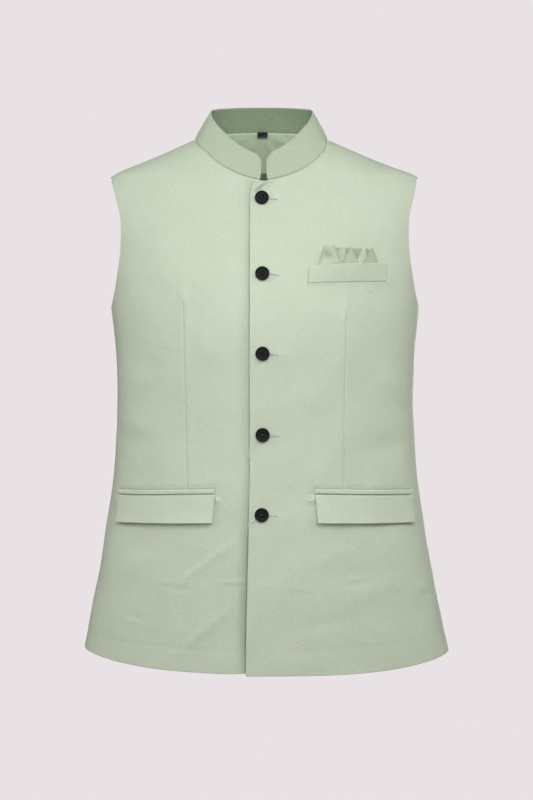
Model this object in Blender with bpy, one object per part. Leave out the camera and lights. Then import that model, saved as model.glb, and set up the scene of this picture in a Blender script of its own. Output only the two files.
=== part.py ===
"""Sleeveless Nehru jacket, filled out as worn and hollow. Metres, +Z up.

The front faces -Y and the wearer's left is +X. The origin is the middle of
the neck opening at the height of the neck points, where the wearer carries it.
Every cloth piece is cut from one body form: rings at named heights, read from
SECTIONS, with a place on a ring given by its angle. 0 is the centre front,
90 the wearer's left side or shoulder ridge, -90 the right one, 180 the centre
back.
"""

import math

import bmesh
import bpy
from mathutils import Vector

# ---------------------------------------------------------------- cloth sizes
WALL = 0.0020              # outer cloth with its interlining
LINING_WALL = 0.0010
SEAM_GAP = 0.0003          # clear space between two sewn pieces
LAP_GAP = 0.0008           # between the left front and the right front under it

# ------------------------------------------------------------------ body form
# One row for each ring. half_width is along X, the depths along Y from the
# side seams, and squareness is the power of the ring (2 is an ellipse).
SECTION_COLUMNS = ("height", "centre", "half_width", "front_depth", "back_depth", "squareness")
SECTIONS = (
    (-0.740, 0.0018, 0.2577, 0.1195, 0.1220, 2.30),
    (-0.700, 0.0014, 0.2496, 0.1190, 0.1210, 2.30),
    (-0.640, 0.0009, 0.2370, 0.1180, 0.1180, 2.30),
    (-0.580, 0.0008, 0.2257, 0.1170, 0.1130, 2.30),
    (-0.520, 0.0006, 0.2162, 0.1160, 0.1065, 2.30),
    (-0.460, 0.0006, 0.2084, 0.1160, 0.1010, 2.30),
    (-0.400, 0.0005, 0.2041, 0.1175, 0.0995, 2.30),
    (-0.350, 0.0004, 0.2030, 0.1205, 0.1030, 2.30),
    (-0.300, 0.0003, 0.2048, 0.1240, 0.1095, 2.30),
    (-0.260, 0.0001, 0.2084, 0.1250, 0.1140, 2.30),
    (-0.237, 0.0000, 0.2108, 0.1238, 0.1155, 2.30),
    (-0.213, -0.0001, 0.2116, 0.1210, 0.1162, 2.30),
    (-0.190, -0.0002, 0.2144, 0.1168, 0.1165, 2.30),
    (-0.165, -0.0003, 0.2184, 0.1100, 0.1152, 2.30),
    (-0.145, -0.0004, 0.2226, 0.1038, 0.1130, 2.30),
    (-0.118, -0.0005, 0.2286, 0.0948, 0.1090, 2.30),
    (-0.094, -0.0006, 0.2314, 0.0868, 0.1036, 2.30),
    (-0.075, -0.0008, 0.2262, 0.0805, 0.0992, 2.30),
    (-0.062, -0.0010, 0.2168, 0.0762, 0.0960, 2.28),
    (-0.054, -0.0012, 0.2084, 0.0733, 0.0940, 2.26),
    (-0.040, -0.0030, 0.1755, 0.0680, 0.0900, 2.24),
    (-0.020, -0.0039, 0.1280, 0.0590, 0.0835, 2.20),
    (0.000, -0.0055, 0.0863, 0.0500, 0.0765, 2.16),
    (0.020, -0.0048, 0.0770, 0.0450, 0.0700, 2.16),
    (0.030, -0.0048, 0.0735, 0.0420, 0.0660, 2.16),
)

# ------------------------------------------------------------ outline heights
# middle is the hem at the centre front, side that at the side seam, and power
# says how late the hem climbs. The left front laps over and hangs lower.
HEM_COLUMNS = ("middle", "side", "power")
HEM_LEFT = (-0.7214, -0.7030, 2.8)
HEM_RIGHT = (-0.7190, -0.6985, 2.3)
HEM_BACK = -0.7120
HEM_BACK_POWER = 2.0
UNDERARM = -0.2370
SHOULDER_TIP = -0.0540
# The neck seam: turn is the angle from the centre front, the same on both sides.
NECK_COLUMNS = ("turn", "height")
NECK_SEAM = (
    (0, -0.0692),
    (5, -0.0630),
    (10, -0.0546),
    (18, -0.0413),
    (30, -0.0264),
    (60, -0.0084),
    (90, -0.0022),
    (112, 0.0072),
    (135, 0.0145),
    (180, 0.0200),
)
ARM_REACH_FRONT = 0.0595   # how far the armhole reaches from the side seam
ARM_REACH_BACK = 0.0630
ARM_ROUNDNESS = 0.85       # under 1 the armhole is fuller than an ellipse

# ------------------------------------------------------------- front overlap
LAP_TOP = -0.0198          # x of the left front's edge, straight down to LAP_FLARE
LAP_HEM = -0.0250          # x of the same edge at the hem
LAP_FLARE = -0.4300
LAP_NECK_DROP = 0.0022
UNDERLAP = 0.0165          # x of the right front's hidden edge
STEP_START = 0.0240        # the right front starts to sink this far from the centre
STEP_END = 0.0600
STEP_DEPTH = WALL + LAP_GAP

# ----------------------------------------------------------------- panel grid
FRONT_COLUMNS = 16
LAP_COLUMNS = 2            # of those, the ones past the centre front
BACK_COLUMNS = 26
SIDE_ROWS = 13             # hem to underarm
ARM_ROWS = 9               # underarm to shoulder tip
SHOULDER_ROWS = 5          # shoulder tip to neck point
PANEL_ROWS = SIDE_ROWS + ARM_ROWS + SHOULDER_ROWS
CENTRE_ARM_ROW = -0.2370   # where the row from the underarm meets the centre
CENTRE_TIP_ROW = -0.1150   # where the row from the shoulder tip meets it
LINING_START = 0.02        # share of the back's length where the lining starts

# --------------------------------------------------------------------- collar
COLLAR_WALL = 0.0025
COLLAR_LEAD = 0.0008       # the band starts this far above the neck seam
COLLAR_TOP_CENTRE = -0.0045
COLLAR_TOP_SIDE = 0.0703
COLLAR_TOP_FRONT = 0.0660
COLLAR_TOP_BACK = 0.0560
COLLAR_BULGE = 0.0010
COLLAR_GAP_CENTRE = -0.0017
COLLAR_GAP_HALF = 0.0036
COLLAR_GAP_SPREAD = 0.0015  # the ends part this much more at the seam
COLLAR_SPREAD_HEIGHT = 0.4  # share of the height where they stop parting
COLLAR_END_RADIUS = 0.0150
COLLAR_END_SHARE = 0.375    # share of the height that the end's curve takes
COLLAR_SEGMENTS = 52
COLLAR_RISES = (0.0, 0.35, 0.65, 0.82, 0.93, 0.98, 1.0)
# turn is the plan angle from the centre front, height that of the top edge
COLLAR_TOP_COLUMNS = ("turn", "height")
COLLAR_TOP = (
    (0, -0.0320),
    (13, -0.0270),
    (26, -0.0180),
    (39, -0.0060),
    (52, 0.0065),
    (65, 0.0180),
    (78, 0.0285),
    (90, 0.0368),
    (135, 0.0478),
    (180, 0.0525),
)

# -------------------------------------------------------------------- pockets
# Corners of each pocket piece on the wearer's left, as x and height.
WELT_CORNERS = {"low_in": (0.0566, -0.2084), "low_out": (0.1610, -0.2044),
                "top_in": (0.0578, -0.1859), "top_out": (0.1616, -0.1800)}
WELT_WALL = 0.0014
WELT_GRID = (14, 3)        # columns and rows, as for the other grids below
WELT_LIFT_LOW = 0.0003
WELT_LIFT_TOP = 0.0032     # the square behind it pushes the welt out
SQUARE_CORNERS = {"low_in": (0.0690, -0.1895), "low_out": (0.1510, -0.1855),
                  "top_in": (0.0770, -0.1600), "top_out": (0.1425, -0.1625)}
SQUARE_WALL = 0.0010
SQUARE_GRID = (16, 6)
SQUARE_FOLDS = 4
SQUARE_FOLD_RISE = 0.0024
SQUARE_TUCK = 0.25         # share of its height behind the welt
JET_CORNERS = {"low_in": (0.0655, -0.4840), "low_out": (0.1958, -0.4880),
               "top_in": (0.0655, -0.4775), "top_out": (0.1958, -0.4815)}
JET_WALL = 0.0012
JET_GRID = (20, 1)
FLAP_CORNERS = {"low_in": (0.0680, -0.5220), "low_out": (0.1985, -0.5250),
                "top_in": (0.0655, -0.4845), "top_out": (0.1958, -0.4885)}
FLAP_WALL = 0.0018
FLAP_GRID = (14, 4)
FLAP_LIFT_TOP = 0.0004
FLAP_LIFT_LOW = 0.0045

# -------------------------------------------------------------------- buttons
BUTTON_COLUMNS = ("x", "height")
BUTTONS = (
    (-0.0042, -0.0941),
    (-0.0035, -0.1966),
    (-0.0031, -0.3008),
    (-0.0031, -0.4066),
    (-0.0042, -0.5110),
)
BUTTON_RADIUS = 0.0093
BUTTON_LIFT = 0.0006       # thread shank under the button
# Turned profile, from the middle of the back to the middle of the front.
BUTTON_PROFILE_COLUMNS = ("radius_share", "height")
BUTTON_PROFILE = (
    (0.70, 0.0000),
    (0.96, 0.0009),
    (1.00, 0.0018),
    (0.94, 0.0027),
    (0.84, 0.0029),
    (0.74, 0.0024),
    (0.50, 0.0019),
)
BUTTON_SIDES = 20
BUTTON_HOLE_RADIUS = 0.0008
BUTTON_HOLE_OFFSET = 0.0014
BUTTON_HOLE_SIDES = 6

# --------------------------------------------------------------------- labels
TAB_SIZE = (0.0138, 0.0075)
TAB_CENTRE = -0.0034
TAB_TOP = 0.0188
LABEL_SIZE = (0.0460, 0.0180)
LABEL_CENTRE = -0.0020
LABEL_TOP = -0.0330
LABEL_WALL = 0.0005
LABEL_GRID = (6, 2)

# ------------------------------------------------------------------ materials
MATERIAL_COLUMNS = ("name", "colour", "roughness")
MATERIALS = (
    ("sage_suiting", (0.560, 0.650, 0.500, 1.0), 0.85),
    ("sage_lining", (0.330, 0.430, 0.290, 1.0), 0.60),
    ("black_resin", (0.012, 0.012, 0.014, 1.0), 0.30),
    ("black_tape", (0.015, 0.015, 0.016, 1.0), 0.70),
    ("grey_label", (0.070, 0.075, 0.072, 1.0), 0.70),
)


def clear_scene():
    for item in list(bpy.data.objects):
        bpy.data.objects.remove(item, do_unlink=True)


def make_materials():
    made = {}
    for name, colour, roughness in MATERIALS:
        material = bpy.data.materials.new(name)
        material.use_nodes = True
        shader = material.node_tree.nodes["Principled BSDF"]
        shader.inputs["Base Color"].default_value = colour
        shader.inputs["Roughness"].default_value = roughness
        shader.inputs["Metallic"].default_value = 0.0
        made[name] = material
    return made


def smooth_step(value):
    value = min(1.0, max(0.0, value))
    return value * value * (3.0 - 2.0 * value)


def mix(first, second, share):
    return first + (second - first) * share


def smooth_table(rows, key, column):
    """Read a column of a table at a key in its first column, along a smooth curve."""
    index = 0
    while index < len(rows) - 2 and key > rows[index + 1][0]:
        index += 1

    def slope(i):
        low = max(i - 1, 0)
        high = min(i + 1, len(rows) - 1)
        return (rows[high][column] - rows[low][column]) / (rows[high][0] - rows[low][0])

    start = rows[index]
    end = rows[index + 1]
    width = end[0] - start[0]
    share = (key - start[0]) / width
    square = share * share
    cube = square * share
    return ((2 * cube - 3 * square + 1) * start[column]
            + (cube - 2 * square + share) * width * slope(index)
            + (3 * square - 2 * cube) * end[column]
            + (cube - square) * width * slope(index + 1))


def section(height):
    return {name: smooth_table(SECTIONS, height, column)
            for column, name in enumerate(SECTION_COLUMNS) if column}


# ------------------------------------------------------------ the body's form
def ring_point(angle, height):
    """A point of the outer surface of the body form."""
    ring = section(height)
    power = 2.0 / ring["squareness"]
    across = math.sin(math.radians(angle))
    along = math.cos(math.radians(angle))
    x = ring["centre"] + ring["half_width"] * math.copysign(abs(across) ** power, across)
    depth = ring["front_depth"] if along > 0 else ring["back_depth"]
    y = -depth * math.copysign(abs(along) ** power, along)
    return Vector((x, y, height))


def body_point(angle, height, lift=0.0):
    """The same point, moved out of the cloth by lift (in, where it is negative)."""
    point = ring_point(angle, height)
    if lift:
        point += ring_normal(angle, height) * lift
    return point


def ring_normal(angle, height):
    turn = 0.5
    rise = 0.0005
    around = ring_point(angle + turn, height) - ring_point(angle - turn, height)
    up = ring_point(angle, height + rise) - ring_point(angle, height - rise)
    return around.cross(up).normalized()


def angle_at(x, height):
    """The angle on the front half where the form reaches x."""
    ring = section(height)
    share = (x - ring["centre"]) / ring["half_width"]
    sine = math.copysign(min(1.0, abs(share)) ** (ring["squareness"] / 2), share)
    return math.degrees(math.asin(sine))


def edge_angle(reach, height, depth):
    """The angle whose point lies reach in front of (or behind) the side seam."""
    ring = section(height)
    share = max(reach, SEAM_GAP / 2) / ring[depth]
    return math.degrees(math.acos(min(1.0, share) ** (ring["squareness"] / 2)))


def neck_height(angle):
    """The height of the neck seam, all the way round."""
    return smooth_table(NECK_SEAM, abs(angle), 1)


def front_hem(angle, hem):
    middle, side, power = hem
    return mix(middle, side, abs(math.sin(math.radians(angle))) ** power)


def back_hem(angle):
    side = HEM_LEFT[1] if angle > 0 else HEM_RIGHT[1]
    return mix(HEM_BACK, side, abs(math.sin(math.radians(angle))) ** HEM_BACK_POWER)


# ---------------------------------------------------------------- panel edges
def outer_edge(share, hem, reach, depth):
    """Side seam, armhole and shoulder seam, as an angle from the panel's centre."""
    row = share * PANEL_ROWS
    if row <= SIDE_ROWS:
        height = mix(hem[1], UNDERARM, row / SIDE_ROWS)
        return edge_angle(0.0, height, depth), height
    if row < SIDE_ROWS + ARM_ROWS:
        turn = math.pi * (1 - (row - SIDE_ROWS) / ARM_ROWS)
        middle = (UNDERARM + SHOULDER_TIP) / 2
        height = middle + (SHOULDER_TIP - UNDERARM) / 2 * math.cos(turn)
        return edge_angle(reach * math.sin(turn) ** ARM_ROUNDNESS, height, depth), height
    up = (row - SIDE_ROWS - ARM_ROWS) / SHOULDER_ROWS
    height = mix(SHOULDER_TIP, neck_height(90) - SEAM_GAP, up)
    return edge_angle(0.0, height, depth), height


def centre_height(share, low, high):
    """The height on the centre line of the row that is share of the way up."""
    row = share * PANEL_ROWS
    if row <= SIDE_ROWS:
        return mix(low, CENTRE_ARM_ROW, row / SIDE_ROWS)
    if row <= SIDE_ROWS + ARM_ROWS:
        return mix(CENTRE_ARM_ROW, CENTRE_TIP_ROW, (row - SIDE_ROWS) / ARM_ROWS)
    return mix(CENTRE_TIP_ROW, high, (row - SIDE_ROWS - ARM_ROWS) / SHOULDER_ROWS)


def fill_between(left, right, bottom, top, u, v):
    """Blend four edges, each a function that returns an angle and a height."""
    sides = [mix(a, b, u) for a, b in zip(left(v), right(v))]
    ends = [mix(a, b, v) for a, b in zip(bottom(u), top(u))]
    lower = [mix(a, b, u) for a, b in zip(left(0), right(0))]
    upper = [mix(a, b, u) for a, b in zip(left(1), right(1))]
    corners = [mix(a, b, v) for a, b in zip(lower, upper)]
    return tuple(s + e - c for s, e, c in zip(sides, ends, corners))


def front_place(side, edge_x, hem):
    """The cut of a front: side is 1 for the wearer's left, edge_x its centre edge.

    Angles run from the centre edge to the side seam, so they are turned over
    for the right front.
    """
    def centre_edge(v):
        height = centre_height(v, hem[0], neck_height(0) - LAP_NECK_DROP)
        return side * angle_at(edge_x(height), height), height

    def side_edge(v):
        return outer_edge(v, hem, ARM_REACH_FRONT, "front_depth")

    def hemline(u):
        angle = mix(centre_edge(0)[0], side_edge(0)[0], u)
        return angle, front_hem(angle, hem)

    def neckline(u):
        start = centre_edge(1)[0]
        angle = mix(start, side_edge(1)[0], u)
        if angle < 0:
            return angle, neck_height(0) - LAP_NECK_DROP * angle / start
        return angle, neck_height(angle) - SEAM_GAP

    start, end = neckline(0)[0], neckline(1)[0]
    centre_share = -start / (end - start)

    def place(u, v):
        column = u * FRONT_COLUMNS
        if column <= LAP_COLUMNS:
            share = centre_share * column / LAP_COLUMNS
        else:
            share = mix(centre_share, 1, (column - LAP_COLUMNS) / (FRONT_COLUMNS - LAP_COLUMNS))
        angle, height = fill_between(centre_edge, side_edge, hemline, neckline, share, v)
        return side * angle, height

    return place


def lap_edge(height):
    """x of the left front's edge, which swings out below the waist."""
    flare = smooth_step((LAP_FLARE - height) / (LAP_FLARE - HEM_LEFT[0]))
    return mix(LAP_TOP, LAP_HEM, flare)


def back_place(u, v):
    """The cut of the back, u from the right side seam to the left one."""
    def left(share):
        return outer_edge(share, HEM_LEFT, ARM_REACH_BACK, "back_depth")

    def right(share):
        angle, height = outer_edge(share, HEM_RIGHT, ARM_REACH_BACK, "back_depth")
        return -angle, height

    def hem(share):
        angle = mix(right(0)[0], left(0)[0], share)
        return angle, back_hem(angle)

    def neckline(share):
        angle = mix(right(1)[0], left(1)[0], share)
        return angle, neck_height(180 - abs(angle)) - SEAM_GAP

    angle, height = fill_between(right, left, hem, neckline, u, v)
    return 180 - angle, height


# ---------------------------------------------------------------- mesh making
def closed_grid(name, grid, outer, inner, material):
    """A closed sheet: outer(u, v) and inner(u, v) give the points of its two faces."""
    bm = bmesh.new()
    bmesh.ops.create_grid(bm, x_segments=grid[0], y_segments=grid[1], size=0.5)
    front = bm.verts[:]
    made = bmesh.ops.extrude_face_region(bm, geom=bm.faces[:], use_keep_orig=True)
    back = [item for item in made["geom"] if isinstance(item, bmesh.types.BMVert)]
    for verts, face in ((front, outer), (back, inner)):
        for vert in verts:
            vert.co = face(vert.co.x + 0.5, vert.co.y + 0.5)
    bmesh.ops.recalc_face_normals(bm, faces=bm.faces[:])
    return make_object(name, bm, material)


def make_object(name, bm, material):
    mesh = bpy.data.meshes.new(name)
    bm.to_mesh(mesh)
    bm.free()
    mesh.shade_smooth()
    mesh.set_sharp_from_angle(angle=math.radians(35))
    mesh.materials.append(material)
    item = bpy.data.objects.new(name, mesh)
    bpy.context.scene.collection.objects.link(item)
    return item


def cloth_panel(name, grid, place, over, under, material):
    """A sheet on the body form between two lifts, each a function of u and v."""
    def face(lift):
        def point(u, v):
            angle, height = place(u, v)
            return body_point(angle, height, lift(u, v))
        return point

    return closed_grid(name, grid, face(over), face(under), material)


def corner_patch(corners, side=1):
    """Place a four-cornered piece on a front; side is 1 on the left, -1 on the right."""
    def place(u, v):
        low = [mix(a, b, u) for a, b in zip(corners["low_in"], corners["low_out"])]
        top = [mix(a, b, u) for a, b in zip(corners["top_in"], corners["top_out"])]
        x, height = (mix(a, b, v) for a, b in zip(low, top))
        return angle_at(side * x, height), height

    return place


# ----------------------------------------------------------------- the pieces
def make_fronts(cloth):
    def step(u, v, place):
        angle, height = place(u, v)
        reach = ring_point(angle, height).x
        return -STEP_DEPTH * (1 - smooth_step((-reach - STEP_START) / (STEP_END - STEP_START)))

    left = front_place(1, lap_edge, HEM_LEFT)
    cloth_panel("front_left", (FRONT_COLUMNS, PANEL_ROWS), left,
                lambda u, v: 0.0, lambda u, v: -WALL, cloth)

    right = front_place(-1, lambda height: UNDERLAP, HEM_RIGHT)
    cloth_panel("front_right", (FRONT_COLUMNS, PANEL_ROWS), right,
                lambda u, v: step(u, v, right), lambda u, v: step(u, v, right) - WALL, cloth)


def make_back(cloth, lining):
    grid = (BACK_COLUMNS, PANEL_ROWS)
    cloth_panel("back", grid, back_place,
                lambda u, v: 0.0, lambda u, v: -WALL, cloth)
    lining_over = -WALL - SEAM_GAP
    cloth_panel("back_lining", grid,
                lambda u, v: back_place(u, max(v, LINING_START)),
                lambda u, v: lining_over, lambda u, v: lining_over - LINING_WALL, lining)


def neck_loop():
    """Points of the neck seam from the collar gap round the back, with their distances."""
    start = angle_at(COLLAR_GAP_CENTRE, neck_height(0))
    steps = 720
    points = []
    distance = [0.0]
    for index in range(steps + 1):
        angle = start - 360 * index / steps
        if angle < -180:
            angle += 360
        point = ring_point(angle, neck_height(angle))
        if points:
            distance.append(distance[-1] + (point - points[-1]).length)
        points.append(point)
    return points, distance


def loop_point(loop, reach):
    points, distance = loop
    for index in range(1, len(points)):
        if distance[index] >= reach:
            span = distance[index] - distance[index - 1]
            return points[index - 1].lerp(points[index], (reach - distance[index - 1]) / span)
    return points[-1]


def collar_end(rise):
    """How far the band stops from the middle of the gap, at a share of its height."""
    spread = max(0.0, 1 - rise / COLLAR_SPREAD_HEIGHT)
    bend = max(0.0, (rise - 1 + COLLAR_END_SHARE) / COLLAR_END_SHARE)
    round_off = COLLAR_END_RADIUS * (1 - math.sqrt(max(0.0, 1 - bend * bend)))
    return COLLAR_GAP_HALF + COLLAR_GAP_SPREAD * spread * spread + round_off


def collar_point(loop, reach, rise):
    """A point of the band's outer face, reach along the seam and rise of the way up."""
    base = loop_point(loop, reach)
    ring = section(0.0)
    across = (base.x - ring["centre"]) / ring["half_width"]
    depth = NECK_FRONT_DEPTH if base.y < 0 else NECK_BACK_DEPTH
    turn = math.atan2(abs(across), -base.y / depth)
    top_depth = COLLAR_TOP_FRONT if base.y < 0 else COLLAR_TOP_BACK
    top = Vector((COLLAR_TOP_CENTRE + math.copysign(COLLAR_TOP_SIDE * math.sin(turn), across),
                  -top_depth * math.cos(turn),
                  smooth_table(COLLAR_TOP, math.degrees(turn), 1)))
    foot = base + (top - base).normalized() * COLLAR_LEAD
    point = foot.lerp(top, rise)
    outward = Vector((point.x - COLLAR_TOP_CENTRE, point.y, 0)).normalized()
    return point + outward * COLLAR_BULGE * math.sin(math.pi * rise)


NECK_FRONT_DEPTH = -ring_point(0, neck_height(0)).y
NECK_BACK_DEPTH = ring_point(180, neck_height(180)).y


def make_collar(cloth):
    loop = neck_loop()
    length = loop[1][-1]

    def reach_at(u, rise):
        end = collar_end(rise)
        return mix(end, length - end, u)

    def rise_at(v):
        place = v * (len(COLLAR_RISES) - 1)
        low = min(int(place + 1e-6), len(COLLAR_RISES) - 2)
        return mix(COLLAR_RISES[low], COLLAR_RISES[low + 1], place - low)

    def outer(u, v):
        rise = rise_at(v)
        return collar_point(loop, reach_at(u, rise), rise)

    def inner(u, v):
        rise = rise_at(v)
        reach = reach_at(u, rise)
        small = 0.001
        around = collar_point(loop, reach + small, rise) - collar_point(loop, reach - small, rise)
        up = collar_point(loop, reach, rise + small) - collar_point(loop, reach, rise - small)
        return collar_point(loop, reach, rise) + around.cross(up).normalized() * COLLAR_WALL

    closed_grid("collar", (COLLAR_SEGMENTS, len(COLLAR_RISES) - 1), outer, inner, cloth)


def make_breast_pocket(cloth):
    def welt_lift(u, v):
        return mix(WELT_LIFT_LOW, WELT_LIFT_TOP, math.sin(math.pi * u) ** 0.5 * v)

    cloth_panel("chest_welt", WELT_GRID, corner_patch(WELT_CORNERS),
                lambda u, v: welt_lift(u, v) + WELT_WALL, welt_lift, cloth)

    def fold_rise(u, v):
        fold = abs((u * SQUARE_FOLDS) % 1.0 - 0.5) * 2
        return SQUARE_FOLD_RISE * (1 - fold) * smooth_step((v - SQUARE_TUCK) / (1 - SQUARE_TUCK))

    cloth_panel("pocket_square", SQUARE_GRID, corner_patch(SQUARE_CORNERS),
                lambda u, v: SEAM_GAP + SQUARE_WALL + fold_rise(u, v),
                lambda u, v: SEAM_GAP, cloth)


def make_hip_pockets(cloth):
    def flap_lift(u, v):
        return mix(FLAP_LIFT_LOW, FLAP_LIFT_TOP, v)

    for name, side in (("left", 1), ("right", -1)):
        cloth_panel("jet_" + name, JET_GRID, corner_patch(JET_CORNERS, side),
                    lambda u, v: SEAM_GAP + JET_WALL, lambda u, v: SEAM_GAP, cloth)
        cloth_panel("flap_" + name, FLAP_GRID, corner_patch(FLAP_CORNERS, side),
                    lambda u, v: flap_lift(u, v) + FLAP_WALL, flap_lift, cloth)


def button_mesh():
    """A turned disc with a raised rim and four holes, facing +Z, its back at 0."""
    bm = bmesh.new()
    profile = [bm.verts.new((share * BUTTON_RADIUS, 0, height)) for share, height in BUTTON_PROFILE]
    edges = [bm.edges.new(pair) for pair in zip(profile, profile[1:])]
    bmesh.ops.spin(bm, geom=profile + edges, cent=(0, 0, 0), axis=(0, 0, 1),
                   angle=math.tau, steps=BUTTON_SIDES, use_merge=True)
    bmesh.ops.remove_doubles(bm, verts=bm.verts[:], dist=1e-6)
    bmesh.ops.holes_fill(bm, edges=[edge for edge in bm.edges if edge.is_boundary], sides=0)
    bmesh.ops.recalc_face_normals(bm, faces=bm.faces[:])
    return bm


def hole_cutter():
    """Four thin pins, where the thread passes through a button."""
    bm = bmesh.new()
    for x_side in (-1, 1):
        for y_side in (-1, 1):
            made = bmesh.ops.create_cone(bm, cap_ends=True, segments=BUTTON_HOLE_SIDES,
                                         radius1=BUTTON_HOLE_RADIUS, radius2=BUTTON_HOLE_RADIUS,
                                         depth=0.02)
            bmesh.ops.translate(bm, verts=made["verts"],
                                vec=(x_side * BUTTON_HOLE_OFFSET, y_side * BUTTON_HOLE_OFFSET, 0))
    return bm


def make_buttons(resin):
    for number, (x, height) in enumerate(BUTTONS, start=1):
        angle = angle_at(x, height)
        facing = ring_normal(angle, height).to_track_quat("Z", "Y").to_euler()
        button = make_object(f"button_{number}", button_mesh(), resin)
        pins = make_object(f"button_{number}_cutter", hole_cutter(), resin)
        for item in (button, pins):
            item.location = body_point(angle, height, BUTTON_LIFT)
            item.rotation_euler = facing
        pins.hide_render = True
        pins.display_type = "WIRE"
        cut = button.modifiers.new("thread_holes", "BOOLEAN")
        cut.operation = "DIFFERENCE"
        cut.solver = "EXACT"
        cut.object = pins


def make_labels(tape, grey):
    inside = -WALL - SEAM_GAP - LINING_WALL - SEAM_GAP

    def back_patch(centre, top, size):
        def place(u, v):
            height = top - size[1] * (1 - v)
            x = centre + size[0] * (0.5 - u)
            return 180 - angle_at(x, height), height
        return place

    for name, centre, top, size, material in (
            ("size_tab", TAB_CENTRE, TAB_TOP, TAB_SIZE, tape),
            ("main_label", LABEL_CENTRE, LABEL_TOP, LABEL_SIZE, grey)):
        cloth_panel(name, LABEL_GRID, back_patch(centre, top, size),
                    lambda u, v: inside, lambda u, v: inside - LABEL_WALL, material)


def main():
    clear_scene()
    materials = make_materials()
    cloth = materials["sage_suiting"]
    make_fronts(cloth)
    make_back(cloth, materials["sage_lining"])
    make_collar(cloth)
    make_breast_pocket(cloth)
    make_hip_pockets(cloth)
    make_buttons(materials["black_resin"])
    make_labels(materials["black_tape"], materials["grey_label"])


main()
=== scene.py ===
import math

import bmesh
import bpy
import numpy as np
from mathutils import Matrix, Vector, kdtree, noise


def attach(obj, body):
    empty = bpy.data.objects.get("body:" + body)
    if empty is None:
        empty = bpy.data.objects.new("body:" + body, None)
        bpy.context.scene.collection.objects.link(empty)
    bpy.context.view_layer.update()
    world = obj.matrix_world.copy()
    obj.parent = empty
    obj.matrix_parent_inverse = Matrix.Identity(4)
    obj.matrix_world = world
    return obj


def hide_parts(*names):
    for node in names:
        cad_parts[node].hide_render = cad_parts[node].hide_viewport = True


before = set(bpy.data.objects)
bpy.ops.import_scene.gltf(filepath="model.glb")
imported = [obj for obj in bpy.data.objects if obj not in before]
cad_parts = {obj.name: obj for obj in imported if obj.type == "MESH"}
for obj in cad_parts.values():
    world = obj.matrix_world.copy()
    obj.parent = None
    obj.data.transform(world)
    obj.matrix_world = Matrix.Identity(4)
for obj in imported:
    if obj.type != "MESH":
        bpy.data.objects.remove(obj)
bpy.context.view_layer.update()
scene = bpy.context.scene

# All sizes are metres. The front faces -Y and the wearer's left is +X.

cloth = {
    "wall": 0.0020,              # outer cloth with its interlining
    "liningWall": 0.0010,
    "rimRound": 0.0007,          # roundness of a turned edge
    "seamDip": 0.0009,           # how far a sewn edge sinks
    "seamReach": 0.0028,
    "seamFade": 0.0140,          # relief fades out this near a seam
    "neckRise": 0.5,             # share of the dip that is given back at the neck
    "shoulderLine": 0.0026,      # the shoulder seam lies this far in front of the ridge
    "shoulderDip": 0.0013,
    "shoulderWidth": 0.0009,
    "armRelief": 0.25,           # share of the relief that is left at an armhole
    "armReach": 0.022,
    "armSink": 0.0016,           # the back's armhole edge lies this much closer to the body,
    "armSinkReach": 0.030,
    "armSinkFade": 0.045,        # less so this near the side and shoulder seams
}

# the body form: one row for each ring round the body
# height, centre, halfWidth, frontDepth, backDepth, squareness
bodyRings = (
    (-0.740, 0.0018, 0.2577, 0.1195, 0.1220, 2.30),
    (-0.700, 0.0014, 0.2496, 0.1190, 0.1210, 2.30),
    (-0.640, 0.0009, 0.2370, 0.1180, 0.1180, 2.30),
    (-0.580, 0.0008, 0.2257, 0.1170, 0.1130, 2.30),
    (-0.520, 0.0006, 0.2162, 0.1160, 0.1065, 2.30),
    (-0.460, 0.0006, 0.2084, 0.1160, 0.1010, 2.30),
    (-0.400, 0.0005, 0.2041, 0.1175, 0.0995, 2.30),
    (-0.350, 0.0004, 0.2030, 0.1205, 0.1030, 2.30),
    (-0.300, 0.0003, 0.2048, 0.1240, 0.1095, 2.30),
    (-0.260, 0.0001, 0.2084, 0.1250, 0.1140, 2.30),
    (-0.237, 0.0000, 0.2108, 0.1238, 0.1155, 2.30),
    (-0.213, -0.0001, 0.2116, 0.1210, 0.1162, 2.30),
    (-0.190, -0.0002, 0.2144, 0.1168, 0.1165, 2.30),
    (-0.165, -0.0003, 0.2184, 0.1100, 0.1152, 2.30),
    (-0.145, -0.0004, 0.2226, 0.1038, 0.1130, 2.30),
    (-0.118, -0.0005, 0.2286, 0.0948, 0.1090, 2.30),
    (-0.094, -0.0006, 0.2314, 0.0868, 0.1036, 2.30),
    (-0.075, -0.0008, 0.2262, 0.0805, 0.0992, 2.30),
    (-0.062, -0.0010, 0.2168, 0.0762, 0.0960, 2.28),
    (-0.054, -0.0012, 0.2084, 0.0733, 0.0940, 2.26),
    (-0.040, -0.0030, 0.1755, 0.0680, 0.0900, 2.24),
    (-0.020, -0.0039, 0.1280, 0.0590, 0.0835, 2.20),
    (0.000, -0.0055, 0.0863, 0.0500, 0.0765, 2.16),
    (0.020, -0.0048, 0.0770, 0.0450, 0.0700, 2.16),
    (0.030, -0.0048, 0.0735, 0.0420, 0.0660, 2.16),
)
centreColumn, widthColumn, frontColumn, backColumn, squareColumn = 1, 2, 3, 4, 5

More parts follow.
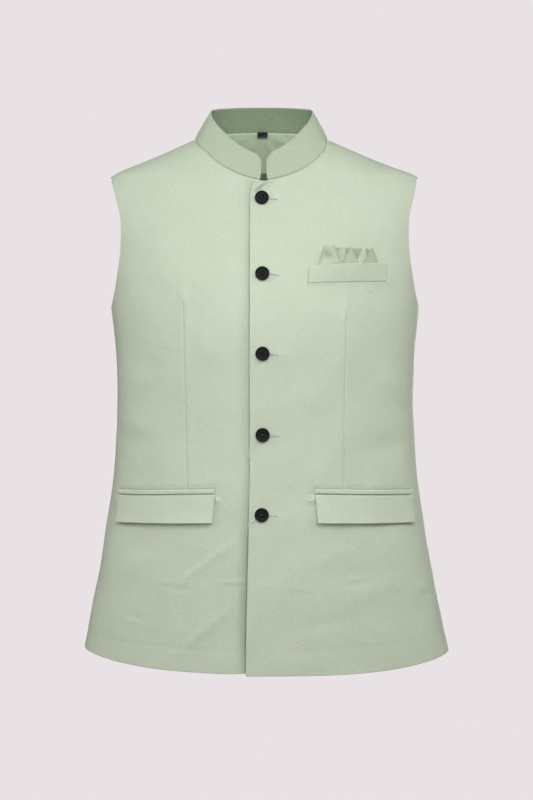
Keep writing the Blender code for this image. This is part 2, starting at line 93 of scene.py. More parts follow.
outline = {
    "hemLeft": (-0.7214, -0.7030, 2.8),      # at the centre, at the side, lateness of the climb
    "hemRight": (-0.7190, -0.6985, 2.3),
    "hemBack": -0.7120,
    "hemBackPower": 2.0,
    "underarm": -0.2370,
    "shoulderTip": -0.0540,
    "armFront": 0.0595,                      # reach of the armhole from the side seam
    "armBack": 0.0680,
    "armRoundness": 0.85,
    "armPoint": 0.02,                        # share of its half height where the armhole comes to a point
    "lapTop": -0.0201,                       # x of the left front's edge
    "lapHem": -0.0250,
    "lapFlare": -0.4300,
    "lapCorner": 0.0030,                     # the top of the edge leans this far in
    "lapCornerTop": -0.0950,
    "lapCornerReach": 0.0240,
    "lapNeckDrop": 0.0022,
    "underlap": 0.0165,
    "stepStart": 0.0200,                     # the right front sinks under the left one
    "stepEnd": 0.0500,
    "stepDepth": 0.0050,
    "stepDeeper": 1.1,                       # added towards the hem, as a share
    "stepDeeperReach": 0.20,
    "lapLift": 0.0018,                       # the left front stands off this much along its edge
    "lapLiftReach": 0.0600,
    "centreArmRow": -0.2370,
    "centreTipRow": -0.1150,
    "liningStart": 0.02,                     # the lining ends this share above the hem
    "liningInset": 0.012,                    # and this share inside the side seams
}
# turn from the centre front, height
neckSeam = (
    (0, -0.0692),
    (5, -0.0630),
    (10, -0.0546),
    (18, -0.0413),
    (30, -0.0264),
    (60, -0.0084),
    (90, -0.0022),
    (112, 0.0072),
    (135, 0.0145),
    (180, 0.0200),
)
neckLean = {"from": -2.0, "span": 52.0, "drop": 0.0032}     # lower on the wearer's left
sideShare, armShare = 13 / 27, 22 / 27       # of the panel's height: underarm and shoulder tip

# extra columns at the side edges and extra rows at the hem, as shares
rimShares = (0.0009, 0.0024, 0.0046, 0.0072, 0.0098, 0.0124)
hemShares = (0.0003, 0.0009, 0.0016)

darts = {
    # x and height of the tip, of a middle point and of the foot
    "left": ((0.1070, -0.2440), (0.1055, -0.3300), (0.1040, -0.4745)),
    "right": ((-0.1076, -0.2292), (-0.1058, -0.3300), (-0.1028, -0.4765)),
    "from": 0.306, "to": 0.350, "fineness": 0.0032,   # finer columns, as shares of the panel's width
    "clear": 0.6,                                      # share of that step kept clear of the others
    "groove": -0.0013, "grooveWidth": 0.00100,
    "pressed": 0.0004, "pressedWidth": 0.0060, "pressedAway": 0.006,
    "pucker": 0.0014, "puckerWidth": 0.007, "puckerRise": 0.6,
    "topFade": 0.012, "footFade": 0.004,
}


def mix(first, second, share):
    return first + (second - first) * share


def smoothStep(value):
    value = np.clip(value, 0.0, 1.0)
    return value * value * (3.0 - 2.0 * value)


def tableCurve(rows, keys, column):
    # a smooth curve through one column of a table, read at keys in its first column
    keys = np.asarray(keys, dtype=float)
    knots = np.array([row[0] for row in rows], dtype=float)
    values = np.array([row[column] for row in rows], dtype=float)
    slopes = np.empty_like(values)
    slopes[1:-1] = (values[2:] - values[:-2]) / (knots[2:] - knots[:-2])
    slopes[0] = (values[1] - values[0]) / (knots[1] - knots[0])
    slopes[-1] = (values[-1] - values[-2]) / (knots[-1] - knots[-2])
    index = np.clip(np.searchsorted(knots, keys, side="left") - 1, 0, len(knots) - 2)
    width = knots[index + 1] - knots[index]
    share = (keys - knots[index]) / width
    square, cube = share ** 2, share ** 3
    return ((2 * cube - 3 * square + 1) * values[index]
            + (cube - 2 * square + share) * width * slopes[index]
            + (3 * square - 2 * cube) * values[index + 1]
            + (cube - square) * width * slopes[index + 1])


def ringPoints(angles, heights):
    # angle 0 is the centre front, 90 the wearer's left side, 180 the centre back
    angles, heights = np.broadcast_arrays(np.asarray(angles, float), np.asarray(heights, float))
    power = 2.0 / tableCurve(bodyRings, heights, squareColumn)
    across, along = np.sin(np.radians(angles)), np.cos(np.radians(angles))
    depth = np.where(along > 0, tableCurve(bodyRings, heights, frontColumn),
                     tableCurve(bodyRings, heights, backColumn))
    x = (tableCurve(bodyRings, heights, centreColumn)
         + tableCurve(bodyRings, heights, widthColumn) * np.sign(across) * np.abs(across) ** power)
    y = -depth * np.sign(along) * np.abs(along) ** power
    return np.stack((x, y, heights), axis=-1)


probe = {"turn": 0.5, "reach": 0.0005}        # how far to either side a slope is measured


def ringNormals(angles, heights):
    turn, reach = probe["turn"], probe["reach"]
    around = ringPoints(angles + turn, heights) - ringPoints(angles - turn, heights)
    up = ringPoints(angles, heights + reach) - ringPoints(angles, heights - reach)
    normals = np.cross(around, up)
    return normals / np.linalg.norm(normals, axis=-1, keepdims=True)


def bodyPoints(angles, heights, lift):
    lift = np.asarray(lift, dtype=float)
    return ringPoints(angles, heights) + ringNormals(angles, heights) * lift[..., None]


def angleAt(x, heights):
    share = (x - tableCurve(bodyRings, heights, centreColumn)) / tableCurve(bodyRings, heights, widthColumn)
    power = tableCurve(bodyRings, heights, squareColumn) / 2
    sine = np.sign(share) * np.clip(np.abs(share), 0, 1) ** power
    return np.degrees(np.arcsin(sine))


def edgeAngle(reach, height, depthColumn):
    share = np.clip(reach / tableCurve(bodyRings, height, depthColumn), 0, 1)
    return np.degrees(np.arccos(share ** (tableCurve(bodyRings, height, squareColumn) / 2)))


arcHeights = np.linspace(-0.735, 0.025, 96)
arcAngles = np.linspace(0.0, 180.0, 121)


def measureArcs():
    # the length of the cloth round the body from the centre front, for the left half
    points = ringPoints(arcAngles[None, :], arcHeights[:, None])
    steps = np.linalg.norm(np.diff(points, axis=1), axis=2)
    return np.concatenate((np.zeros((len(arcHeights), 1)), np.cumsum(steps, axis=1)), axis=1)


arcTable = measureArcs()


def arcAt(angles, heights, fromBack=False):
    angles, heights = np.broadcast_arrays(np.asarray(angles, float), np.asarray(heights, float))
    angles = (angles + 180.0) % 360.0 - 180.0
    turned = (np.abs(angles) / 180.0) * (len(arcAngles) - 1)
    raised = (heights - arcHeights[0]) / (arcHeights[-1] - arcHeights[0]) * (len(arcHeights) - 1)
    raised = np.clip(raised, 0, len(arcHeights) - 1.001)
    turned = np.clip(turned, 0, len(arcAngles) - 1.001)
    row, column = raised.astype(int), turned.astype(int)
    up, across = raised - row, turned - column
    low = mix(arcTable[row, column], arcTable[row, column + 1], across)
    high = mix(arcTable[row + 1, column], arcTable[row + 1, column + 1], across)
    arc = mix(low, high, up)
    if fromBack:
        arc = mix(arcTable[row, -1], arcTable[row + 1, -1], up) - arc
    return np.sign(angles) * arc


def neckHeight(angles):
    lean = np.sin(math.pi * np.clip((angles - neckLean["from"]) / neckLean["span"], 0, 1))
    return tableCurve(neckSeam, np.abs(angles), 1) - neckLean["drop"] * lean ** 2


# the cut of the panels, as angles and heights on the body form
def sideEdge(shares, hem, reach, depthColumn):
    # side seam, then armhole, then shoulder seam
    heights = np.empty_like(shares)
    reaches = np.zeros_like(shares)
    side = shares <= sideShare
    arm = (shares > sideShare) & (shares < armShare)
    shoulder = shares >= armShare
    heights[side] = mix(hem[1], outline["underarm"], shares[side] / sideShare)
    turn = math.pi * (1 - (shares[arm] - sideShare) / (armShare - sideShare))
    middle = (outline["underarm"] + outline["shoulderTip"]) / 2
    heights[arm] = middle + (outline["shoulderTip"] - outline["underarm"]) / 2 * np.cos(turn)
    pointed = 1 - np.exp(-(1 - np.abs(np.cos(turn))) / outline["armPoint"])
    reaches[arm] = reach * np.sin(turn) ** outline["armRoundness"] * pointed
    up = (shares[shoulder] - armShare) / (1 - armShare)
    heights[shoulder] = mix(outline["shoulderTip"], float(neckHeight(90)), up)
    return edgeAngle(reaches, heights, depthColumn), heights


def centreHeights(shares, low, high):
    return np.interp(shares, (0, sideShare, armShare, 1),
                     (low, outline["centreArmRow"], outline["centreTipRow"], high))


def fillBetween(left, right, bottom, top, shares, rows):
    # a patch between four edges; shares run across and rows run up
    across, up = shares[None, :], rows[:, None]
    made = []
    for k in (0, 1):
        sideways = mix(left[k][:, None], right[k][:, None], across)
        upwards = mix(bottom[k][None, :], top[k][None, :], up)
        low = mix(left[k][0], right[k][0], across)
        high = mix(left[k][-1], right[k][-1], across)
        made.append(sideways + upwards - mix(low, high, up))
    return made


def crowdEnds(count, crowd):
    # even shares, closer together at both ends
    even = np.linspace(0, 1, count + 1)
    return even - crowd * np.sin(2 * math.pi * even) / (2 * math.pi)


def panelRows(side, arm, shoulder):
    return np.concatenate(([0], hemShares, np.linspace(0, sideShare, side + 1)[1:-1],
                           np.linspace(sideShare, armShare, arm + 1)[:-1],
                           np.linspace(armShare, 1, shoulder + 1)))


def lapEdge(heights):
    flare = smoothStep((outline["lapFlare"] - heights) / (outline["lapFlare"] - outline["hemLeft"][0]))
    lean = smoothStep((heights - outline["lapCornerTop"]) / outline["lapCornerReach"])
    return mix(outline["lapTop"], outline["lapHem"], flare) + outline["lapCorner"] * lean


def hemHeight(angles, middle, side, power):
    return mix(middle, side, np.abs(np.sin(np.radians(angles))) ** power)


def withRims(shares):
    return np.unique(np.concatenate((shares, rimShares, 1 - np.array(rimShares))))


def frontPatch(side, edgeX, hem, lapColumns, columns, rows):
    # side is 1 for the wearer's left; angles run from the centre edge outwards
    drop = outline["lapNeckDrop"]
    neckMiddle = float(neckHeight(0))
    centreRise = centreHeights(rows, hem[0], neckMiddle - drop)
    centre = (side * angleAt(edgeX(centreRise), centreRise), centreRise)
    outer = sideEdge(rows, hem, outline["armFront"], frontColumn)
    start, end = centre[0][-1], outer[0][-1]
    centreShare = -start / (end - start)
    shares = np.concatenate((np.linspace(0, centreShare, lapColumns + 1)[:-1],
                             np.linspace(centreShare, 1, columns + 1)))
    finer = np.arange(darts["from"], darts["to"], darts["fineness"])
    apart = np.abs(shares[:, None] - finer[None, :]).min(axis=1)
    shares = withRims(np.concatenate((shares[apart > darts["clear"] * darts["fineness"]], finer)))
    hemAngles = mix(centre[0][0], outer[0][0], shares)
    hemline = (hemAngles, hemHeight(hemAngles, *hem))
    neckAngles = mix(start, end, shares)
    neckRise = np.where(neckAngles < 0, neckMiddle - drop * neckAngles / start,
                        neckHeight(side * neckAngles))
    angles, heights = fillBetween(centre, outer, hemline, (neckAngles, neckRise), shares, rows)
    return side * angles, heights


def backPatch(columns, rows, inset=0.0):
    shares = mix(inset, 1 - inset, withRims(np.linspace(0, 1, columns + 1)))
    left = sideEdge(rows, outline["hemLeft"], outline["armBack"], backColumn)
    right = sideEdge(rows, outline["hemRight"], outline["armBack"], backColumn)
    right = (-right[0], right[1])
    hemAngles = mix(right[0][0], left[0][0], shares)
    hemSide = np.where(hemAngles > 0, outline["hemLeft"][1], outline["hemRight"][1])
    hemRise = hemHeight(hemAngles, outline["hemBack"], hemSide, outline["hemBackPower"])
    neckAngles = mix(right[0][-1], left[0][-1], shares)
    neckline = (neckAngles, neckHeight(180 - np.abs(neckAngles)))
    angles, heights = fillBetween(right, left, (hemAngles, hemRise), neckline, shares, rows)
    return 180 - angles, heights


# creases: a fold fades towards its ends and has a shallow dip along one side
foldShape = {"leastFade": 0.04, "endReach": 1.5, "dip": 0.45, "dipAway": 1.5, "dipWidth": 1.6}


def frontArc(x, height):
    return float(arcAt(angleAt(x, height), height))


def creaseLift(arcs, heights, creases, arcOf=lambda x, height: x):
    # rows of x, height, toX, toHeight, width, depth: a ridge, or a trough where depth is negative
    lift = np.zeros_like(arcs)
    for x, height, toX, toHeight, width, depth in creases:
        start = arcOf(x, height)
        run, climb = arcOf(toX, toHeight) - start, toHeight - height
        length = math.hypot(run, climb)
        along = ((arcs - start) * run + (heights - height) * climb) / length ** 2
        across = ((arcs - start) * climb - (heights - height) * run) / length
        past = np.maximum(np.abs(along - 0.5) - 0.5, 0) * length
        fade = np.sqrt(np.clip(4 * along * (1 - along), foldShape["leastFade"], 1))
        fade = fade * np.exp(-(past / (foldShape["endReach"] * width)) ** 2)
        dip = np.exp(-((across - foldShape["dipAway"] * width) / (foldShape["dipWidth"] * width)) ** 2)
        lift += depth * fade * (np.exp(-(across / width) ** 2) - foldShape["dip"] * dip)
    return lift


def pathReach(points):
    # how far along a path each of its points lies
    return np.concatenate(([0], np.cumsum(np.linalg.norm(np.diff(points, axis=0), axis=1))))


def softWaves(arcs, heights, seed, size, depth):
    spots = zip(arcs.ravel() / size, heights.ravel() / size)
    return np.array([noise.noise(Vector((*spot, seed))) for spot in spots]).reshape(arcs.shape) * depth


# mesh making
def finishMesh(name, bm, *materials):
    mesh = bpy.data.meshes.new(name)
    bm.to_mesh(mesh)
    bm.free()
    for material in materials:
        mesh.materials.append(material)
    piece = bpy.data.objects.new(name, mesh)
    scene.collection.objects.link(piece)
    return piece


def doubleSheet(name, outer, inner, uvs, *materials):
    # a closed sheet between two sets of points[row, column]; a second material is for its inner face
    rows, columns = outer.shape[0] - 1, outer.shape[1] - 1
    bm = bmesh.new()
    bmesh.ops.create_grid(bm, x_segments=columns, y_segments=rows, size=0.5)
    bmesh.ops.extrude_face_region(bm, geom=bm.faces[:], use_keep_orig=True)
    uvLayer = bm.loops.layers.uv.new("clothUV")
    spots = {vert: (round((vert.co.y + 0.5) * rows), round((vert.co.x + 0.5) * columns))
             for vert in bm.verts}
    bm.faces.ensure_lookup_table()
    outerVerts = {vert for face in bm.faces[:rows * columns] for vert in face.verts}
    for vert, spot in spots.items():
        vert.co = outer[spot] if vert in outerVerts else inner[spot]
    for face in bm.faces:
        face.smooth = True
        if len(materials) > 1 and outerVerts.isdisjoint(face.verts):
            face.material_index = 1
        for loop in face.loops:
            loop[uvLayer].uv = uvs[spots[loop.vert]]
    bmesh.ops.recalc_face_normals(bm, faces=bm.faces[:])
    return finishMesh(name, bm, *materials)


def laidSheet(name, angles, heights, middle, half, uvs, *materials):
    # a closed sheet on the body form, half its thickness to each side of middle
    outer, inner = bodyPoints(angles, heights, middle + half), bodyPoints(angles, heights, middle - half)
    return doubleSheet(name, outer, inner, np.stack(uvs, axis=-1), *materials)


def panelSheet(name, angles, heights, lift, wall, rim, fromBack, *materials):
    # a cloth shell whose wall is turned inwards and whose edges are rounded
    half = wall / 2 * roundedShare(fromBorder(ringPoints(angles, heights)), rim)
    uvs = arcAt(angles, heights, fromBack), heights
    return laidSheet(name, angles, heights, lift - wall / 2, half, uvs, *materials)


def fromBorder(points):
    # how far every point is from the nearest border, measured along the rows and columns
    across = np.linalg.norm(np.diff(points, axis=1), axis=2).cumsum(axis=1)
    across = np.pad(across, ((0, 0), (1, 0)))
    up = np.linalg.norm(np.diff(points, axis=0), axis=2).cumsum(axis=0)
    up = np.pad(up, ((1, 0), (0, 0)))
    return fromEdges(across, up, across[:, -1:], up[-1:])


def fromEdges(across, up, width, height):
    # how far inside a rectangle
    return np.minimum(np.minimum(across, width - across), np.minimum(up, height - up))


def roundedShare(distance, radius):
    # 0 at an edge, 1 from radius inwards, along a quarter circle
    return np.sqrt(np.clip(1 - (1 - np.clip(distance / radius, 0, 1)) ** 2, 0.0, 1))


pathSteps = 4                                 # places tried between two points of a path


def distanceTo(points, *paths):
    # from every point to the nearest place on any of the paths
    finer = []
    for path in paths:
        for step in range(pathSteps):
            finer += list(mix(path[:-1], path[1:], step / pathSteps))
        finer.append(path[-1])
    tree = kdtree.KDTree(len(finer))
    for index, spot in enumerate(finer):
        tree.insert(spot, index)
    tree.balance()
    return np.array([tree.find(spot)[2] for spot in points.reshape(-1, 3)]).reshape(points.shape[:-1])


def armholeLift(flat, lift, armholes, sink):
    # the relief weakens along an armhole and its edge hugs the body
    for armhole in armholes:
        distance = distanceTo(flat, armhole)
        lift = lift * mix(cloth["armRelief"], 1, smoothStep(distance / cloth["armReach"]))
        lift = lift - sink * (1 - smoothStep(distance / cloth["armSinkReach"]))
    return lift


def sewnLift(flat, lift, seams):
    # the relief dies out at the sewn seams, and the edge sinks there
    distance = distanceTo(flat, *seams)
    lift = lift * smoothStep(distance / cloth["seamFade"])
    return lift - cloth["seamDip"] * (1 - smoothStep(distance / cloth["seamReach"])) ** 2


# finishes
suitingWeave = {
    "pitch": 0.00080, "slubWidth": 0.0012, "slubLength": 0.0045, "warpSlub": 1.05, "weftSlub": 1.05,
    "blotchSizes": (0.0050, 0.0130, 0.0450), "blotches": (0.30, 0.30, 0.40), "bump": 0.00025,
}
collarWeave = dict(suitingWeave, warpSlub=0.7, weftSlub=1.2, slubLength=0.0110)
liningWeave = dict(suitingWeave, pitch=0.00035, slubWidth=0.0009, warpSlub=0.5, weftSlub=0.5, bump=0.00008)
tapeWeave = dict(suitingWeave, pitch=0.00050, warpSlub=0.4, weftSlub=0.4)
# bandRate is the turn that a wave texture makes over one metre at scale 1
yarn = {"bandRate": 20.0, "distortion": 1.2, "detail": 2.0, "detailScale": 0.05, "middle": 0.7,
        "weight": 0.25, "relief": 0.5}
shading = {"sheenRoughness": 0.45, "bumpStrength": 0.6, "grainDark": 0.85,
           "slubDetail": 1.0, "blotchDetail": 2.0, "grainDetail": 3.0}

# light and dark colour, weave, roughness, specular, sheen
wovenFinishes = {
    "sageCloth": ((0.545, 0.622, 0.476), (0.455, 0.522, 0.394), suitingWeave, 0.60, 1.0, 0.05),
    # the collar cloth is matte, and its tone darker than the suiting's is painted shade
    "collarClothAndShade": ((0.470, 0.545, 0.413), (0.400, 0.468, 0.348), collarWeave, 0.85, 0.3, 0.05),
    # painted shade: the collar's inside is the same cloth, coloured darker
    "collarFacingPaintedShade": ((0.365, 0.445, 0.312), (0.245, 0.318, 0.202), collarWeave, 0.85, 0.2, 0.0),
    # the square's smoother cloth, toned darker than the suiting: partly painted shade
    "squareClothAndShade": ((0.500, 0.585, 0.430), (0.440, 0.520, 0.380), liningWeave, 0.70, 0.4, 0.05),
    # painted shade: a darker copy of the square's cloth for the layers between the folds
    "squareInnerPaintedShade": ((0.345, 0.428, 0.290), (0.300, 0.382, 0.248), liningWeave, 0.80, 0.3, 0.0),
    # painted light: a brighter copy of the square's cloth for one fold
    "squareFoldPaintedLight": ((0.610, 0.705, 0.535), (0.560, 0.650, 0.485), liningWeave, 0.62, 0.5, 0.08),
    "sageLining": ((0.560, 0.655, 0.490), (0.490, 0.585, 0.420), liningWeave, 0.60, 0.5, 0.0),
    "blackTape": ((0.016, 0.016, 0.018), (0.016, 0.016, 0.018), tapeWeave, 0.75, 0.3, 0.05),
    # painted highlight: a paler copy of the black tape for its fold
    "tapeFoldPaintedHighlight": ((0.210, 0.230, 0.205), (0.210, 0.230, 0.205), tapeWeave, 0.75, 0.3, 0.05),
    "greyLabel": ((0.230, 0.242, 0.215), (0.150, 0.160, 0.142), tapeWeave, 0.55, 0.5, 0.05),
}
# colour, roughness, depth and size of the grain, specular
plainFinishes = {
    "sageThread": ((0.700, 0.760, 0.640), 0.75, 0.00005, 0.0003, 0.5),
    "slitShade": ((0.370, 0.435, 0.320), 0.90, 0.00005, 0.0003, 0.5),
    "blackResin": ((0.0150, 0.0150, 0.0155), 0.34, 0.00001, 0.0012, 0.05),
    "holeShade": ((0.0015, 0.0015, 0.0015), 0.90, 0.0, 0.001, 0.0),
    "blackThread": ((0.004, 0.004, 0.004), 0.70, 0.00005, 0.0003, 0.5),
    "greyThread": ((0.120, 0.126, 0.122), 0.70, 0.00005, 0.0003, 0.5),
}


def newMaterial(name):
    material = bpy.data.materials.new(name)
    material.use_nodes = True
    return material, material.node_tree


def setInputs(tree, node, inputs):
    # each value is a constant or another node's output
    for key, value in inputs.items():
        if isinstance(value, bpy.types.NodeSocket):
            tree.links.new(value, node.inputs[key])
        else:
            node.inputs[key].default_value = value


def scaled(tree, spot, scale):
    node = tree.nodes.new("ShaderNodeMapping")
    setInputs(tree, node, {"Vector": spot, "Scale": scale})
    return node.outputs["Vector"]


def speckle(tree, spot, scale, detail):
    # noise, stretched by scale
    node = tree.nodes.new("ShaderNodeTexNoise")
    setInputs(tree, node, {"Vector": scaled(tree, spot, scale), "Scale": 1.0, "Detail": detail})
    return node.outputs["Fac"]


def mathNode(tree, operation, first, second):
    node = tree.nodes.new("ShaderNodeMath")
    node.operation = operation
    setInputs(tree, node, {0: first, 1: second})
    return node.outputs[0]


def yarns(tree, spot, direction, pitch):
    # one set of parallel yarns
    node = tree.nodes.new("ShaderNodeTexWave")
    node.wave_type = "BANDS"
    node.bands_direction = direction
    setInputs(tree, node, {"Vector": spot, "Scale": 2 * math.pi / (yarn["bandRate"] * pitch),
                           "Detail": yarn["detail"], "Detail Scale": yarn["detailScale"],
                           "Distortion": yarn["distortion"]})
    return node.outputs["Fac"]


def mixColours(tree, factor, dark, light):
    node = tree.nodes.new("ShaderNodeMix")
    node.data_type = "RGBA"
    setInputs(tree, node, {"A": (*dark, 1.0), "B": (*light, 1.0), "Factor": factor})
    return node.outputs["Result"]


def bumpNormal(tree, height, distance):
    node = tree.nodes.new("ShaderNodeBump")
    setInputs(tree, node, {"Strength": shading["bumpStrength"], "Distance": distance, "Height": height})
    return node.outputs["Normal"]


def wovenMaterial(name, light, dark, weave, roughness, specular, sheen):
    # plain weave with slubs along both yarns and a faint unevenness of colour
    material, tree = newMaterial(name)
    source = tree.nodes.new("ShaderNodeUVMap")
    source.uv_map = "clothUV"
    spot = source.outputs["UV"]
    thin, long = 1 / weave["slubWidth"], 1 / weave["slubLength"]
    warpSlub, weftSlub = (speckle(tree, spot, scale, shading["slubDetail"])
                          for scale in ((thin, long, 1), (long, thin, 1)))
    # value, its middle, its weight in the colour
    swings = [(warpSlub, 0.5, weave["warpSlub"]), (weftSlub, 0.5, weave["weftSlub"])]
    for size, weight in zip(weave["blotchSizes"], weave["blotches"]):
        blotch = speckle(tree, spot, (1 / size, 1 / size, 1), shading["blotchDetail"])
        swings.append((blotch, 0.5, weight))
    crossing = mathNode(tree, "MAXIMUM", *(yarns(tree, spot, way, weave["pitch"]) for way in ("X", "Y")))
    swings.append((crossing, yarn["middle"], yarn["weight"]))
    tone = 0.5
    for value, middle, weight in swings:
        swing = mathNode(tree, "MULTIPLY", mathNode(tree, "SUBTRACT", value, middle), weight)
        tone = mathNode(tree, "ADD", tone, swing)
    relief = mathNode(tree, "ADD", mathNode(tree, "ADD", warpSlub, weftSlub),
                      mathNode(tree, "MULTIPLY", crossing, yarn["relief"]))
    setInputs(tree, tree.nodes["Principled BSDF"], {
        "Base Color": mixColours(tree, tone, dark, light), "Roughness": roughness,
        "Specular IOR Level": specular, "Sheen Weight": sheen, "Sheen Roughness": shading["sheenRoughness"],
        "Sheen Tint": (*light, 1.0), "Normal": bumpNormal(tree, relief, weave["bump"])})
    return material


def plainMaterial(name, colour, roughness, grain, grainSize, specular):
    # one colour with a fine grain in its shade and relief
    material, tree = newMaterial(name)
    source = tree.nodes.new("ShaderNodeTexCoord")
    speck = speckle(tree, source.outputs["Object"], (1 / grainSize,) * 3, shading["grainDetail"])
    dark = tuple(channel * shading["grainDark"] for channel in colour)
    shader = tree.nodes["Principled BSDF"]
    setInputs(tree, shader, {"Base Color": mixColours(tree, speck, dark, colour), "Roughness": roughness,
                             "Specular IOR Level": specular})
    if grain:
        setInputs(tree, shader, {"Normal": bumpNormal(tree, speck, grain)})
    return material


skins = {name: wovenMaterial(name, *values) for name, values in wovenFinishes.items()}
skins.update({name: plainMaterial(name, *values) for name, values in plainFinishes.items()})
print("finishes made")


def place(piece, slot, *nodes):
    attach(piece, "root")
    if nodes:
        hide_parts(*nodes)
    return piece


# relief of the panels
# x, height, toX, toHeight, width, depth
leftCreases = (
    (0.0100, -0.0740, 0.0300, -0.0900, 0.0120, 0.0010),
    (0.1335, -0.2120, 0.1480, -0.2235, 0.0030, 0.0008),      # wrinkle under the breast pocket
    (0.1500, -0.2130, 0.1400, -0.2240, 0.0040, -0.0006),
    (0.0850, -0.2250, 0.1200, -0.2340, 0.0120, -0.0010),
    (0.0180, -0.0970, 0.0330, -0.0990, 0.0050, 0.0005),      # strain at the buttonholes
    (0.0180, -0.3035, 0.0420, -0.3070, 0.0070, 0.0005),
    (0.0180, -0.5140, 0.0400, -0.5180, 0.0060, 0.0006),
    (0.0250, -0.4800, 0.0630, -0.4870, 0.0100, -0.0005),
    (0.0560, -0.4600, 0.0660, -0.4770, 0.0070, 0.0006),      # strain at the hip pocket's ends
    (0.0560, -0.4980, 0.0660, -0.4900, 0.0040, 0.0007),
    (0.0590, -0.4830, 0.0660, -0.4890, 0.0030, -0.0006),
    (0.2000, -0.4790, 0.1940, -0.4900, 0.0040, 0.0007),
    (0.0860, -0.5960, 0.1440, -0.5900, 0.0100, -0.0007),
    (0.1150, -0.6250, 0.1760, -0.6000, 0.0130, 0.0010),
    (0.1740, -0.6160, 0.1770, -0.6200, 0.0034, -0.0020),     # dent near the hem
    (0.2060, -0.6120, 0.2230, -0.6160, 0.0045, 0.0016),
    (0.0300, -0.6080, 0.0640, -0.6090, 0.0032, 0.0007),
    (0.0960, -0.5990, 0.1400, -0.5940, 0.0034, 0.0008),
    (0.0500, -0.6600, 0.1100, -0.6480, 0.0090, -0.0009),
    (0.0700, -0.5700, 0.1200, -0.5560, 0.0110, 0.0009),
    (0.1560, -0.1150, 0.1950, -0.1700, 0.0160, 0.0015),      # soft drapes by the armhole
    (0.1700, -0.0900, 0.2080, -0.1300, 0.0140, -0.0012),
    (0.0600, -0.1300, 0.1000, -0.1100, 0.0220, 0.0010),
    (0.1500, -0.3300, 0.1960, -0.3600, 0.0160, 0.0017),
    (0.1300, -0.4300, 0.1980, -0.4150, 0.0140, -0.0015),
    (0.0400, -0.3700, 0.0900, -0.3560, 0.0180, 0.0010),
)
rightCreases = (
    (-0.0380, -0.5440, -0.1080, -0.5980, 0.0048, 0.0013),    # long diagonals on the skirt
    (-0.0420, -0.5620, -0.1100, -0.6160, 0.0120, -0.0006),
    (-0.0380, -0.6250, -0.1140, -0.6930, 0.0052, 0.0013),
    (-0.0340, -0.6480, -0.0980, -0.7020, 0.0130, -0.0006),
    (-0.0220, -0.6040, -0.0560, -0.6045, 0.0030, -0.0010),
    (-0.0220, -0.6000, -0.0500, -0.6000, 0.0030, 0.0006),
    (-0.1010, -0.6090, -0.1370, -0.6060, 0.0032, -0.0009),
    (-0.1640, -0.6550, -0.1880, -0.6510, 0.0030, 0.0008),
    (-0.1500, -0.5600, -0.1900, -0.5900, 0.0120, 0.0009),
    (-0.0600, -0.4960, -0.0680, -0.4900, 0.0040, 0.0007),
    (-0.0560, -0.4840, -0.0640, -0.4900, 0.0030, -0.0006),
    (-0.1990, -0.4800, -0.1930, -0.4910, 0.0040, 0.0007),
    (-0.0700, -0.1250, -0.1200, -0.1050, 0.0200, 0.0010),
    (-0.1560, -0.1100, -0.1980, -0.1600, 0.0160, 0.0015),
    (-0.1720, -0.0850, -0.2080, -0.1250, 0.0140, -0.0012),
    (-0.0300, -0.0950, -0.0480, -0.1500, 0.0140, -0.0010),
    (-0.1450, -0.3250, -0.1960, -0.3500, 0.0160, 0.0017),
    (-0.1350, -0.4220, -0.1980, -0.4060, 0.0140, -0.0015),
    (-0.0450, -0.3000, -0.0900, -0.2900, 0.0200, 0.0010),
)
wave = {"size": 0.055, "depth": 0.0015, "fineSize": 0.017, "fineDepth": 0.00030}
waveSeeds = {"left": (3.7, 8.7), "right": (11.2, 16.2), "back": (21.4, 27.1)}
topPulls = (                                                 # from the collar to the top button
    (0.0130, -0.0670, -0.0135, -0.0870, 0.0024, -0.0054),
    (0.0020, -0.0680, -0.0150, -0.0790, 0.0036, 0.0014),
)
pullFade = 0.0030                                            # the pulls die out this near the neck seam
hemFold = {"arcs": (0, 0.28), "heights": (-0.694, -0.676), "depth": 0.0004, "width": 0.0028}
sides = {"left": 1, "right": -1}


def clothWaves(part, arcs, heights):
    seed, fineSeed = waveSeeds[part]
    return (softWaves(arcs, heights, seed, wave["size"], wave["depth"])
            + softWaves(arcs, heights, fineSeed, wave["fineSize"], wave["fineDepth"]))


def dartX(side, heights):
    return np.interp(-heights, [-spot[1] for spot in darts[side]], [spot[0] for spot in darts[side]])


def dartLift(side, arcs, heights):
    # a stitched line with the fold of the dart pressed towards the centre
    top, foot = darts[side][0][1], darts[side][-1][1]
    away = (arcs - arcAt(angleAt(dartX(side, heights), heights), heights)) * sides[side]
    within = smoothStep((top - heights) / darts["topFade"])
    within = within * smoothStep((heights - foot) / darts["footFade"] + 1)
    groove = darts["groove"] * np.exp(-(away / darts["grooveWidth"]) ** 2)
    pressed = darts["pressed"] * np.exp(-((away + darts["pressedAway"]) / darts["pressedWidth"]) ** 2)
    above = (heights - top) / darts["topFade"] - darts["puckerRise"]
    pucker = darts["pucker"] * np.exp(-(above ** 2)) * np.exp(-(away / darts["puckerWidth"]) ** 2)
    return (groove + pressed) * within + pucker


def frontRelief(side, arcs, heights):
    creases = leftCreases if side == "left" else rightCreases
    lift = creaseLift(arcs, heights, creases, frontArc) + dartLift(side, arcs, heights)
    lift += clothWaves(side, arcs, heights)
    fromFold = heights - np.interp(np.abs(arcs), hemFold["arcs"], hemFold["heights"])
    lift -= hemFold["depth"] * np.exp(-(fromFold / hemFold["width"]) ** 2)
    if side == "left":
        lift += outline["lapLift"] * (1 - smoothStep((arcs - outline["lapTop"]) / outline["lapLiftReach"]))
    return lift


